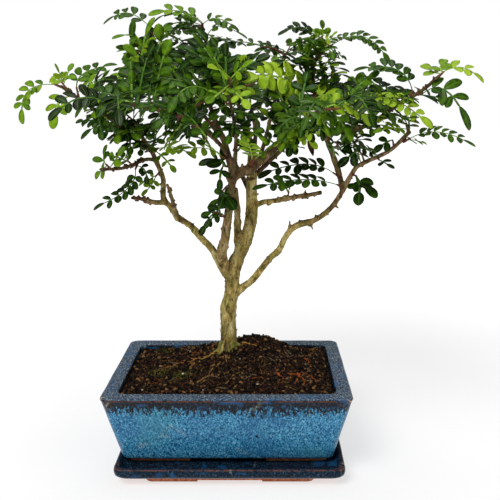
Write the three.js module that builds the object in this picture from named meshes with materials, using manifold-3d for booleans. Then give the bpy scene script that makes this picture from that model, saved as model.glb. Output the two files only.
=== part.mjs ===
// Japanese pepper bonsai: a small tree with feathery leaves, in a rectangular
// glazed pot that stands in its own drip saucer. Millimetres, +Z up, the front towards -Y.
import * as THREE from 'three';
import { mergeVertices } from 'three/addons/utils/BufferGeometryUtils.js';
import Module from 'manifold-3d';

const wasm = await Module();
wasm.setup();

// Pot, measured over the rim, with the pot's centre on X = Y = 0
const potWidth = 200;
const potDepth = 141.6;
const potTop = 71.5;
const potFootBase = 9.5;
const potBodyBase = 13.6;
const potBaseWidth = 174;
const potBaseDepth = 115.6;
const rimBandHeight = 4;
const rimWidth = 12.5;
const cavityFloor = 21;
const cavityFloorInset = 21;
const potCorner = 7;
const potFootInset = 5;
const potFootThickness = 11;
const potFootGapAlong = 62;
const potFootGapAcross = 46;
const drainHoleRadius = 8;
const drainHoleOffset = 42;

// Drainage screens that lie over the drain holes
const screenSide = 24;
const screenThickness = 1;
const screenCells = 3;
const screenBar = 1.6;

// Saucer, a little off centre under the pot
const saucerCentre = new THREE.Vector2(2, -3);
const saucerWidth = 185;
const saucerDepth = 149;
const saucerTop = 15;
const saucerEdgeLow = 8;
const saucerFloor = 9.2;
const saucerUnderside = 4.6;
const saucerCorner = 8;
const saucerLip = 4;
const saucerSlope = 4;
const saucerFootInsetAlong = 24.5;
const saucerFootInsetAcross = 9.5;
const saucerFootThickness = 12;
const saucerFootGap = 52;
const saucerFootGapHeight = 1.2;

// Soil, heaped towards the trunk and higher still behind it
const soilEdgeBelowRim = 4.5;
const soilTrunkMound = { x: 0, y: 14, height: 15, spread: 46 };
const soilBackMound = { x: 30, y: 28, height: 13, spread: 30 };
const soilClod = 1.1;
const soilRings = [1, 0.82, 0.6, 0.38, 0.16];

// Clearance that touching pieces keep from each other
const gap = 0.3;

// Leaf blades
const bladeThickness = 0.7;
const ribHalfWidth = 0.75;
const petioleShare = 0.13;
const terminalShare = 0.2;
const leafletSpacing = 15;
const leafLeanLine = 33;
const leafLeanForward = 0.9;
const leafLeanBack = 0.2;
const leafLeanSteps = [0.65, 1, 1.35];
const twigRadius = 1.05;
const twigTipRadius = 0.75;
const twigSides = 3;

const clayBlue = new THREE.MeshStandardMaterial({ color: 0x2f78a0, roughness: 0.28, metalness: 0 });
const darkGlaze = new THREE.MeshStandardMaterial({ color: 0x1b2a44, roughness: 0.2, metalness: 0 });
const soilBrown = new THREE.MeshStandardMaterial({ color: 0x2b1d14, roughness: 0.95, metalness: 0 });
const bark = new THREE.MeshStandardMaterial({ color: 0x8a7a55, roughness: 0.85, metalness: 0 });
const screenBlack = new THREE.MeshStandardMaterial({ color: 0x1c1c1c, roughness: 0.6, metalness: 0 });

const leafColours = {
  dark: 0x17491a,
  mid: 0x33701f,
  light: 0x76a833,
};

// Repeatable random numbers between 0 and 1
function randomSource(seed) {
  let state = seed >>> 0;
  return () => {
    state = (state + 0x6d2b79f5) >>> 0;
    let mixed = Math.imul(state ^ (state >>> 15), 1 | state);
    mixed = (mixed + Math.imul(mixed ^ (mixed >>> 7), 61 | mixed)) ^ mixed;
    return ((mixed ^ (mixed >>> 14)) >>> 0) / 4294967296;
  };
}

// Geometry and solids
function geometryOf(points, triangles) {
  const geometry = new THREE.BufferGeometry();
  const coordinates = points.flatMap((point) => [point.x, point.y, point.z]);
  geometry.setAttribute('position', new THREE.Float32BufferAttribute(coordinates, 3));
  geometry.setIndex(triangles.flat());
  return geometry;
}

function solidOf(geometry) {
  const bare = geometry.clone();
  bare.deleteAttribute('normal');
  bare.deleteAttribute('uv');
  const merged = mergeVertices(bare, 1e-4);
  return new wasm.Manifold(new wasm.Mesh({
    numProp: 3,
    vertProperties: new Float32Array(merged.attributes.position.array),
    triVerts: new Uint32Array(merged.index.array),
  }));
}

function meshOf(name, solid, material) {
  const { vertProperties, triVerts } = solid.getMesh();
  const geometry = new THREE.BufferGeometry();
  geometry.setAttribute('position', new THREE.Float32BufferAttribute(vertProperties, 3));
  geometry.setIndex(Array.from(triVerts));
  geometry.computeVertexNormals();
  const mesh = new THREE.Mesh(geometry, material);
  mesh.name = name;
  return mesh;
}

// The largest body of a cut solid; loose scraps are dropped
function mainBody(solid) {
  const bodies = solid.decompose();
  return bodies.reduce((best, body) => (body.volume() > best.volume() ? body : best));
}

// A closed skin over rings of equal length, with a flat cap on the first and last
function loft(rings) {
  const count = rings[0].length;
  const triangles = [];
  for (let ring = 0; ring < rings.length - 1; ring += 1) {
    for (let side = 0; side < count; side += 1) {
      const next = (side + 1) % count;
      const low = ring * count;
      const high = low + count;
      triangles.push([low + side, low + next, high + next]);
      triangles.push([low + side, high + next, high + side]);
    }
  }
  const last = (rings.length - 1) * count;
  for (let side = 1; side < count - 1; side += 1) {
    triangles.push([0, side + 1, side]);
    triangles.push([last, last + side, last + side + 1]);
  }
  return geometryOf(rings.flat(), triangles);
}

// A rectangle with rounded corners, counter-clockwise, at one height
function roundedRectangle(width, depth, corner, height, centre = new THREE.Vector2()) {
  const steps = 3;
  const points = [];
  const corners = [[1, -1, -90], [1, 1, 0], [-1, 1, 90], [-1, -1, 180]];
  for (const [alongX, alongY, start] of corners) {
    for (let step = 0; step <= steps; step += 1) {
      const angle = THREE.MathUtils.degToRad(start + (90 * step) / steps);
      const x = centre.x + alongX * (width / 2 - corner) + corner * Math.cos(angle);
      const y = centre.y + alongY * (depth / 2 - corner) + corner * Math.sin(angle);
      points.push(new THREE.Vector3(x, y, height));
    }
  }
  return points;
}

function box(width, depth, height, x, y, base) {
  const geometry = new THREE.BoxGeometry(width, depth, height);
  geometry.translate(x, y, base + height / 2);
  return solidOf(geometry);
}

// A ring of clay that the pot or the saucer stands on, with gaps in its sides
function footRing(width, depth, thickness, base, top, centre) {
  const corner = 6;
  const draft = 2;
  const outer = loft([
    roundedRectangle(width - draft, depth - draft, corner, base, centre),
    roundedRectangle(width, depth, corner, top, centre),
  ]);
  const inner = loft([
    roundedRectangle(width - 2 * thickness, depth - 2 * thickness, 2, base - 1, centre),
    roundedRectangle(width - 2 * thickness, depth - 2 * thickness, 2, top + 1, centre),
  ]);
  return solidOf(outer).subtract(solidOf(inner));
}

// Pot
function cavityRings(inset) {
  const topWidth = potWidth - 2 * rimWidth;
  const topDepth = potDepth - 2 * rimWidth;
  const floorWidth = potWidth - 2 * cavityFloorInset;
  const floorDepth = potDepth - 2 * cavityFloorInset;
  return (height, lift = 0) => {
    const share = (height - cavityFloor) / (potTop - cavityFloor);
    const width = THREE.MathUtils.lerp(floorWidth, topWidth, share) - 2 * inset;
    const depth = THREE.MathUtils.lerp(floorDepth, topDepth, share) - 2 * inset;
    return roundedRectangle(width, depth, potCorner - inset, height + lift);
  };
}

function potSolid() {
  const edge = 2.5;
  const body = solidOf(loft([
    roundedRectangle(potBaseWidth - 2 * edge, potBaseDepth - 2 * edge, potCorner, potBodyBase),
    roundedRectangle(potBaseWidth, potBaseDepth, potCorner, potBodyBase + edge),
    roundedRectangle(potWidth - 1, potDepth - 1, potCorner, potTop - rimBandHeight),
    roundedRectangle(potWidth, potDepth, potCorner, potTop - 1),
    roundedRectangle(potWidth - 1.6, potDepth - 1.6, potCorner, potTop),
  ]));
  const cavityRing = cavityRings(0);
  const cavity = solidOf(loft([cavityRing(cavityFloor), cavityRing(potTop + 1)]));
  const overlap = 1;
  let feet = footRing(
    potBaseWidth - 2 * potFootInset,
    potBaseDepth - 2 * potFootInset,
    potFootThickness,
    potFootBase,
    potBodyBase + overlap,
  );
  const footHeight = potBodyBase - potFootBase;
  feet = feet.subtract(box(potFootGapAlong, potDepth, footHeight + 2, 0, 0, potFootBase - 2));
  feet = feet.subtract(box(potWidth, potFootGapAcross, footHeight + 2, 0, 0, potFootBase - 2));
  let pot = body.subtract(cavity).add(feet);
  for (const side of [-1, 1]) {
    const hole = new THREE.CylinderGeometry(drainHoleRadius, drainHoleRadius, 30, 12);
    hole.rotateX(Math.PI / 2);
    hole.translate(side * drainHoleOffset, 0, potBodyBase);
    pot = pot.subtract(solidOf(hole));
  }
  return pot;
}

function screenSolid(side) {
  const base = cavityFloor + gap;
  const centreX = side * drainHoleOffset;
  let screen = box(screenSide, screenSide, screenThickness, centreX, 0, base);
  const pitch = (screenSide - screenBar) / screenCells;
  const first = -screenSide / 2 + screenBar / 2 + pitch / 2;
  for (let column = 0; column < screenCells; column += 1) {
    for (let row = 0; row < screenCells; row += 1) {
      const x = centreX + first + column * pitch;
      const y = first + row * pitch;
      const cell = pitch - screenBar;
      screen = screen.subtract(box(cell, cell, screenThickness * 3, x, y, base - screenThickness));
    }
  }
  return screen;
}

// Saucer
function saucerSolid() {
  const ring = (inset, height) => roundedRectangle(
    saucerWidth - 2 * inset,
    saucerDepth - 2 * inset,
    saucerCorner,
    height,
    saucerCentre,
  );
  const tray = solidOf(loft([
    ring(saucerFootInsetAcross - 3, saucerUnderside),
    ring(1, saucerEdgeLow),
    ring(0, saucerTop - 2),
    ring(0.6, saucerTop),
  ]));
  const hollow = solidOf(loft([
    ring(saucerLip + saucerSlope, saucerFloor),
    ring(saucerLip, saucerTop + 0.5),
  ]));
  const footWidth = saucerWidth - 2 * saucerFootInsetAlong;
  const footDepth = saucerDepth - 2 * saucerFootInsetAcross;
  const footTop = saucerUnderside + 1;
  let foot = footRing(footWidth, footDepth, saucerFootThickness, 0, footTop, saucerCentre);
  const { x, y } = saucerCentre;
  foot = foot.subtract(box(saucerFootGap, saucerDepth, saucerFootGapHeight + 1, x, y, -1));
  return tray.subtract(hollow).add(foot);
}

// Soil
function moundHeight(mound, x, y) {
  const distance = Math.hypot(x - mound.x, y - mound.y);
  return mound.height * Math.exp(-((distance / mound.spread) ** 2));
}

function soilHeight(x, y) {
  const edge = potTop - soilEdgeBelowRim;
  return edge + moundHeight(soilTrunkMound, x, y) + moundHeight(soilBackMound, x, y);
}

function soilSolid(rootsAndTrunk) {
  const random = randomSource(7);
  const clearRing = cavityRings(gap);
  const bottom = clearRing(cavityFloor, gap);
  const edge = clearRing(potTop - soilEdgeBelowRim);
  const count = edge.length;
  const points = [...bottom];
  for (const share of soilRings) {
    for (const point of edge) {
      const x = point.x * share;
      const y = point.y * share;
      const clod = share < 1 ? (random() - 0.5) * 2 * soilClod : 0;
      const fall = share < 1 ? soilHeight(x, y) : soilHeight(x, y) - 0.5;
      points.push(new THREE.Vector3(x, y, fall + clod));
    }
  }
  const triangles = [];
  for (let ring = 0; ring < soilRings.length; ring += 1) {
    for (let side = 0; side < count; side += 1) {
      const next = (side + 1) % count;
      const outer = ring * count;
      const inner = outer + count;
      triangles.push([outer + side, outer + next, inner + next]);
      triangles.push([outer + side, inner + next, inner + side]);
    }
  }
  const last = soilRings.length * count;
  for (let side = 1; side < count - 1; side += 1) {
    triangles.push([0, side + 1, side]);
    triangles.push([last, last + side, last + side + 1]);
  }
  let soil = solidOf(geometryOf(points, triangles));
  for (const side of [-1, 1]) {
    const pocket = screenSide + 2 * gap;
    const height = screenThickness + 3 * gap;
    soil = soil.subtract(box(pocket, pocket, height, side * drainHoleOffset, 0, cavityFloor));
  }
  return mainBody(soil.subtract(rootsAndTrunk));
}

// A tapered tube with rounded-off joints, through points that are given by hand
function tube(route, startRadius, endRadius, sides, grow = 0) {
  const points = route.map((point) => new THREE.Vector3(...point));
  const rings = [];
  let normal = new THREE.Vector3(1, 0.3, 0.1);
  points.forEach((point, index) => {
    const before = points[Math.max(index - 1, 0)];
    const after = points[Math.min(index + 1, points.length - 1)];
    const direction = after.clone().sub(before).normalize();
    normal = normal.clone().addScaledVector(direction, -normal.dot(direction)).normalize();
    const across = direction.clone().cross(normal);
    const share = index / (points.length - 1);
    const radius = THREE.MathUtils.lerp(startRadius, endRadius, share) + grow;
    const slide = index === 0 ? -grow : grow * Number(index === points.length - 1);
    const ring = [];
    for (let side = 0; side < sides; side += 1) {
      const angle = (2 * Math.PI * side) / sides;
      ring.push(point.clone()
        .addScaledVector(direction, slide)
        .addScaledVector(normal, radius * Math.cos(angle))
        .addScaledVector(across, radius * Math.sin(angle)));
    }
    rings.push(ring);
  });
  return solidOf(loft(rings));
}

// Wood: each limb's route, its radius at the start and the end, and its number of sides
const limbs = {
  trunk: [[
    [-3, 14, 52], [-3, 13, 82], [-2, 13, 93], [-2, 12, 120], [1, 11, 135], [2, 10, 149], [5, 9, 163],
    [11, 8, 176], [16, 7, 190], [19, 6, 206], [19, 6, 230], [20, 7, 256],
  ], 7.8, 4.2, 8],
  deadStem: [[[7, 8, 164], [8, 6, 178], [7, 4, 191], [7, 3, 210], [6, 3, 228]], 4.4, 1.8, 6],
  leftStem: [[
    [1, 9, 149], [-5, 4, 163], [-6, -2, 175], [-3, -6, 187], [-1, -9, 201], [1, -12, 215], [3, -14, 229],
    [4, -16, 241], [1, -20, 256], [-2, -24, 269], [-8, -26, 283], [-13, -28, 298],
  ], 4.7, 1.7, 6],
  knottedBranch: [[
    [2, -16, 238], [10, -15, 243], [17, -12, 245], [26, -10, 251], [37, -8, 261], [43, -4, 269],
    [48, 4, 284],
  ], 4.2, 1.8, 6],
  leftLimb: [[
    [1, 10, 145], [-7, 11, 158], [-15, 14, 173], [-25, 17, 183], [-34, 20, 193], [-45, 22, 200],
    [-52, 24, 209], [-58, 25, 217], [-58, 26, 233], [-62, 26, 245], [-67, 25, 257], [-74, 22, 269],
    [-80, 16, 284],
  ], 3.4, 1.6, 6],
  leftStub: [[[-56, 24, 213], [-66, 20, 214], [-72, 16, 216], [-76, 13, 218], [-83, 10, 219]], 2.4, 1.3, 4],
  leftSpur: [[[-47, 22, 204], [-49, 19, 213], [-50, 17, 219], [-53, 14, 230]], 2, 1.3, 4],
  rightLimb: [[
    [3, 11, 132], [11, 9, 141], [19, 5, 148], [27, 1, 159], [35, -3, 170], [42, -6, 177], [47, -8, 188],
    [53, -9, 196], [60, -10, 200], [70, -12, 203], [80, -14, 210], [89, -16, 221], [101, -19, 244],
    [107, -20, 250], [128, -26, 261], [142, -33, 276],
  ], 3.1, 1.5, 6],
  rightRiser: [[
    [93, -17, 229], [90, -12, 243], [83, -4, 263], [78, 0, 276], [74, 7, 298], [69, 14, 325], [80, 16, 342],
  ], 2.4, 1.4, 4],
  rightReach: [[
    [79, -3, 271], [88, -8, 275], [110, -18, 280], [130, -26, 294], [150, -33, 307], [162, -37, 318],
  ], 2, 1.3, 4],
  rightStub: [[
    [19, 6, 211], [28, 4, 216], [33, 2, 217], [44, -2, 219], [57, -5, 222], [67, -8, 224], [76, -10, 226],
  ], 2.4, 1.6, 5],
  farLeftTwig: [[
    [-67, 25, 257], [-81, 18, 269], [-95, 8, 284], [-112, -6, 296], [-130, -18, 311],
  ], 1.8, 1.2, 4],
  lowLeftTwig: [[
    [-65, 26, 250], [-71, 13, 251], [-85, -8, 246], [-101, -22, 246],
  ], 1.7, 1.2, 4],
  crownStem: [[
    [20, 7, 251], [18, 14, 267], [4, 30, 305], [-18, 40, 342], [-23, 43, 361],
  ], 2.2, 1.1, 4],
  frontStem: [[
    [4, -16, 239], [7, -32, 256], [8, -50, 279], [3, -66, 308],
  ], 1.8, 1.1, 4],
  backRightStem: [[
    [20, 6, 243], [28, 20, 259], [41, 48, 309], [48, 54, 339],
  ], 2, 1.1, 4],
  midLeftStem: [[
    [-2, -24, 269], [-22, -12, 292], [-35, 0, 302], [-48, 10, 307], [-66, 18, 310], [-81, 22, 317],
  ], 1.7, 1.1, 4],
  lowFrontLeftStem: [[
    [1, -20, 256], [-8, -36, 270], [-31, -58, 287], [-64, -74, 297],
  ], 1.6, 1.1, 4],
  frontRightStem: [[[36, -8, 260], [50, -32, 276], [62, -58, 288], [72, -80, 294]], 1.7, 1.1, 4],
  backLeftStem: [[[19, 6, 222], [8, 28, 240], [-10, 52, 262], [-36, 76, 284], [-58, 92, 300]], 2.3, 1.1, 4],
  backStem: [[[20, 7, 250], [22, 34, 272], [18, 66, 292], [10, 98, 306]], 2, 1.1, 4],
  farRightBackStem: [[
    [19, 6, 236], [38, 30, 252], [60, 58, 270], [84, 84, 288], [104, 100, 296],
  ], 2.2, 1.1, 4],
};

// Surface roots that run down from the trunk's foot into the soil
const roots = [
  [[-3, 13, 86], [-14, 9, 81], [-24, 4, 72]],
  [[-3, 13, 86], [-10, 2, 80], [-15, -8, 68]],
  [[-3, 13, 86], [8, 13, 86], [20, 12, 76]],
  [[-3, 13, 86], [2, 3, 82], [6, -8, 68]],
  [[-3, 13, 86], [-8, 24, 84], [-12, 36, 72]],
];
const rootRadius = 3.3;
const rootTipRadius = 1.5;

function woodSolid(grow) {
  const parts = Object.values(limbs).map(
    ([route, start, end, sides]) => tube(route, start, end, sides, grow),
  );
  for (const route of roots) {
    parts.push(tube(route, rootRadius, rootTipRadius, 4, grow));
  }
  return wasm.Manifold.union(parts);
}

// Sprays: name, colour, the twig's route, and its leaves. A leaf has its place along the
// twig, from 0 to 1, a point halfway along its rib, and its tip.
const sprays = [
  ['far_left_arch', 'dark', [[-129, -18, 310], [-134, -20, 312]], [
    [1, [-155, -25, 305], [-156, -30, 279]],
  ]],
  ['far_left_rosette', 'light', [[-125, -15, 307], [-130, -14, 314]], [
    [1, [-131, -14, 320], [-134, -18, 327]],
    [0.7, [-126, -10, 321], [-122, -6, 328]],
    [0.4, [-135, -8, 317], [-143, 0, 316]],
  ]],
  ['far_left_drop', 'light', [[-119, -12, 303], [-123, -17, 303]], [
    [1, [-132, -24, 295], [-133, -28, 274]],
  ]],
  ['far_left_rise', 'mid', [[-118, -11, 302], [-120, -8, 310]], [
    [1, [-113, 2, 323], [-86, 16, 329]],
    [0.5, [-102, -16, 315], [-80, -20, 320]],
  ]],
  ['left_edge_dark', 'dark', [[-101, 1, 289], [-104, -7, 287]], [
    [1, [-109, -12, 286], [-115, -16, 280]],
    [0.8, [-101, -13, 279], [-100, -18, 269]],
    [0.4, [-113, 6, 284], [-130, 14, 283]],
  ]],
  ['low_twig_left', 'mid', [[-92, -14, 244], [-97, -19, 250]], [
    [1, [-98, -22, 256], [-94, -22, 264]],
    [0.5, [-88, -18, 255], [-83, -14, 264]],
    [0.8, [-102, -14, 244], [-108, -10, 238]],
  ]],
  ['low_twig_mid', 'mid', [[-79, 0, 247], [-82, -6, 252]], [
    [1, [-79, -10, 259], [-70, -14, 268]],
    [0.4, [-91, 6, 253], [-106, 14, 256]],
  ]],
  ['hanging_left', 'dark', [[-76, 4, 248], [-77, 0, 244]], [
    [1, [-85, -6, 227], [-116, -14, 212]],
    [0.3, [-69, 2, 242], [-70, 2, 230]],
  ]],
  ['low_light_left', 'light', [[-60, 25, 240], [-64, 22, 236]], [
    [1, [-68, 18, 228], [-76, 12, 220]],
    [0.5, [-72, 28, 232], [-81, 34, 228]],
  ]],
  ['left_limb_front', 'light', [[-66, 24, 255], [-60, 12, 260]], [
    [1, [-43, 0, 262], [-25, -14, 254]],
    [0.6, [-52, 6, 251], [-45, 2, 242]],
  ]],
  ['left_tip_dark', 'dark', [[-79, 17, 282], [-84, 6, 289]], [
    [1, [-94, -6, 280], [-99, -14, 269]],
    [0.7, [-83, -2, 278], [-78, -8, 267]],
    [0.4, [-97, 14, 295], [-116, 22, 297]],
  ]],
  ['top_left_front', 'mid', [[-66, 18, 310], [-67, 20, 330], [-69, 20, 347]], [
    [1, [-62, 16, 360], [-51, 8, 366]],
    [0.96, [-80, 12, 352], [-92, 4, 347]],
    [0.85, [-82, 28, 341], [-97, 36, 343]],
    [0.7, [-76, 6, 334], [-82, -4, 331]],
  ]],
  ['top_left_arch', 'mid', [[-60, 15, 309], [-60, 30, 337], [-65, 32, 360]], [
    [1, [-86, 34, 372], [-105, 34, 361]],
    [0.8, [-51, 40, 355], [-38, 48, 346]],
    [0.55, [-79, 44, 329], [-99, 56, 326]],
  ]],
  ['peak_left', 'light', [[-22, 43, 359], [-24, 44, 365]], [
    [1, [-38, 38, 371], [-55, 32, 369]],
    [0.6, [-40, 50, 365], [-58, 56, 354]],
  ]],
  ['peak_right', 'mid', [[-20, 41, 349], [-18, 36, 355]], [
    [1, [-4, 34, 361], [19, 30, 347]],
    [0.5, [-5, 46, 352], [18, 54, 347]],
  ]],
  ['front_left_long', 'mid', [[6, -59, 295], [-2, -66, 301]], [
    [1, [-33, -66, 314], [-68, -60, 314]],
    [0.5, [-22, -78, 309], [-35, -86, 290]],
  ]],
  ['front_rosette', 'light', [[3, -65, 306], [6, -71, 315]], [
    [1, [-1, -80, 320], [-8, -86, 321]],
    [0.95, [13, -76, 321], [20, -78, 326]],
    [0.5, [-2, -82, 304], [-10, -92, 298]],
    [0.3, [12, -80, 303], [19, -90, 294]],
    [0.85, [-14, -60, 327], [-41, -50, 333]],
  ]],
  ['front_left_light', 'light', [[-1, -22, 255], [-5, -28, 257]], [
    [1, [-16, -42, 264], [-42, -50, 263]],
  ]],
  ['front_center_light', 'light', [[17, -12, 248], [20, -22, 254]], [
    [1, [19, -44, 264], [15, -60, 273]],
  ]],
  ['front_right_light', 'light', [[18, -12, 247], [22, -20, 254]], [
    [1, [48, -44, 271], [78, -62, 276]],
  ]],
  ['crown_front_big', 'light', [[74, 6, 297], [69, 2, 302]], [
    [1, [39, -22, 318], [12, -44, 313]],
    [0.6, [60, -12, 294], [48, -24, 287]],
  ]],
  ['right_peak_bud', 'light', [[78, 16, 341], [77, 15, 350]], [
    [1, [77, 12, 356], [76, 8, 361]],
    [0.8, [72, 20, 354], [68, 24, 358]],
    [0.5, [83, 11, 350], [87, 4, 353]],
  ]],
  ['right_peak_left', 'dark', [[74, 15, 337], [70, 12, 348]], [
    [1, [59, 8, 358], [38, 2, 348]],
  ]],
  ['right_peak_front', 'mid', [[69, 14, 325], [66, 8, 332]], [
    [1, [68, 0, 343], [78, -8, 350]],
    [0.5, [62, 2, 334], [55, -8, 325]],
  ]],
  ['right_peak_arch', 'mid', [[79, 16, 341], [86, 14, 345]], [
    [1, [112, 10, 350], [132, 4, 327]],
    [0.4, [90, 22, 339], [100, 28, 333]],
  ]],
  ['back_peak', 'mid', [[48, 54, 338], [51, 51, 344]], [
    [1, [59, 44, 351], [77, 36, 353]],
    [0.5, [33, 64, 346], [17, 74, 334]],
  ]],
  ['right_inner', 'dark', [[76, 4, 288], [84, 6, 295]], [
    [1, [102, 6, 311], [120, 4, 320]],
    [0.6, [105, 18, 306], [131, 24, 305]],
  ]],
  ['right_long_light', 'light', [[77, 1, 282], [83, -6, 290]], [
    [1, [120, -36, 302], [155, -52, 278]],
  ]],
  ['right_dark_back', 'dark', [[140, -30, 299], [145, -24, 307]], [
    [1, [130, -14, 325], [97, -4, 321]],
  ]],
  ['right_dark_trio', 'dark', [[125, -24, 290], [123, -31, 292]], [
    [1, [112, -38, 297], [96, -46, 294]],
    [0.6, [114, -42, 290], [110, -50, 278]],
  ]],
  ['far_right_light', 'light', [[161, -37, 317], [165, -38, 321]], [
    [1, [180, -42, 323], [193, -46, 310]],
    [0.6, [157, -30, 322], [153, -24, 328]],
    [0.8, [164, -32, 325], [170, -26, 330]],
  ]],
  ['far_right_dark', 'dark', [[146, -32, 304], [149, -38, 304]], [
    [1, [167, -48, 305], [185, -58, 270]],
    [0.4, [160, -20, 303], [180, -10, 300]],
  ]],
  ['right_low_arch', 'mid', [[138, -30, 268], [142, -35, 271]], [
    [1, [164, -44, 276], [189, -54, 264]],
    [0.4, [149, -24, 269], [160, -18, 265]],
  ]],
  ['right_low_tip', 'light', [[141, -33, 275], [139, -34, 281]], [
    [1, [130, -36, 287], [118, -38, 284]],
    [0.5, [126, -44, 279], [111, -54, 277]],
  ]],
  ['right_low_mid', 'dark', [[119, -24, 256], [120, -29, 254]], [
    [1, [124, -35, 252], [131, -42, 248]],
    [0.4, [105, -34, 264], [91, -44, 263]],
  ]],
  ['left_going_upper', 'dark', [[91, -14, 239], [85, -17, 243]], [
    [1, [58, -20, 250], [21, -26, 239]],
  ]],
  ['left_going_lower', 'dark', [[94, -18, 230], [88, -23, 234]], [
    [1, [55, -34, 239], [20, -44, 232]],
  ]],
  ['right_hanging', 'dark', [[100, -19, 242], [103, -25, 241]], [
    [1, [108, -30, 234], [122, -38, 224]],
    [0.8, [104, -36, 231], [100, -44, 221]],
  ]],
  ['right_up_mid', 'dark', [[84, -5, 261], [89, -10, 264]], [
    [1, [99, -18, 269], [116, -28, 269]],
    [0.4, [101, 4, 258], [119, 12, 254]],
  ]],
  ['center_right_dark', 'dark', [[79, -1, 273], [72, -8, 276]], [
    [1, [57, -16, 277], [34, -24, 272]],
    [0.5, [62, -19, 281], [46, -35, 277]],
  ]],
  ['stub_leaves', 'mid', [[49, -3, 220], [50, -5, 226]], [
    [1, [52, -8, 232], [58, -12, 235]],
    [0.7, [46, -2, 231], [41, 2, 229]],
  ]],
  ['stem_left_leaf_low', 'dark', [[0, -10, 206], [-6, -15, 207]], [
    [1, [-12, -20, 207], [-19, -26, 195]],
    [0.8, [-7, -19, 218], [-1, -23, 227]],
  ]],
  ['stem_left_leaf_top', 'dark', [[2, -18, 248], [-3, -24, 249]], [
    [1, [-5, -30, 241], [-4, -36, 229]],
    [0.6, [-11, -26, 254], [-18, -32, 247]],
  ]],
];

// Fuller sprays at the back and inside the crown: colour, where the twig leaves its stem,
// and where it ends. Their leaves are set alternately by rule.
const fullSprays = [
  ['back_left_end', 'dark', [-56, 91, 298], [-72, 102, 306]],
  ['back_left_side', 'dark', [-34, 74, 282], [-54, 62, 292]],
  ['back_end', 'dark', [11, 95, 305], [4, 114, 311]],
  ['back_side', 'mid', [18, 66, 291], [34, 80, 304]],
  ['back_right_end', 'dark', [102, 98, 295], [118, 108, 300]],
  ['back_right_side', 'mid', [82, 82, 287], [100, 66, 298]],
  ['front_right_end', 'mid', [70, -77, 293], [82, -92, 294]],
  ['front_left_end', 'dark', [-62, -73, 296], [-78, -84, 296]],
  ['left_crown', 'dark', [-47, 9, 307], [-62, -10, 300]],
  ['left_crown_back', 'dark', [-73, 22, 268], [-90, 38, 277]],
  ['top_crown', 'mid', [5, 29, 303], [-6, 56, 318]],
];
const fullSprayLeaves = 3;
const fullLeafLength = 46;
const fullLeafTurn = 58;
const fullLeafArch = 7;
const fullLeafDrop = 12;

function fullSprayLeavesOf(index, start, end) {
  const random = randomSource(100 + index);
  const direction = new THREE.Vector3(...end).sub(new THREE.Vector3(...start));
  const heading = Math.atan2(direction.y, direction.x);
  const leaves = [];
  for (let leaf = 0; leaf < fullSprayLeaves; leaf += 1) {
    const last = leaf === fullSprayLeaves - 1;
    const at = (leaf + 1) / fullSprayLeaves;
    const side = last ? 0 : (leaf % 2) * 2 - 1;
    const turn = THREE.MathUtils.degToRad(side * fullLeafTurn + (random() - 0.5) * 20);
    const length = fullLeafLength * (0.85 + 0.3 * random());
    const lift = fullLeafArch * (0.6 + 0.8 * random());
    const drop = fullLeafDrop * (0.6 + 0.8 * random());
    const base = new THREE.Vector3(...start).lerp(new THREE.Vector3(...end), at);
    const forward = new THREE.Vector3(Math.cos(heading + turn), Math.sin(heading + turn), 0);
    const middle = base.clone().addScaledVector(forward, length * 0.5);
    const tip = base.clone().addScaledVector(forward, length * 0.97);
    middle.z += lift;
    tip.z -= drop;
    leaves.push([at, middle.toArray(), tip.toArray()]);
  }
  return leaves;
}

// The way a leaf's upper face looks: leaves on the front of the crown lean forwards, those
// behind lean back, and each along a spray leans a little more than the last
function leafSky(base, index) {
  const lean = base.y < leafLeanLine ? -leafLeanForward : leafLeanBack;
  return new THREE.Vector3(0, lean * leafLeanSteps[index % leafLeanSteps.length], 1).normalize();
}

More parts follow.
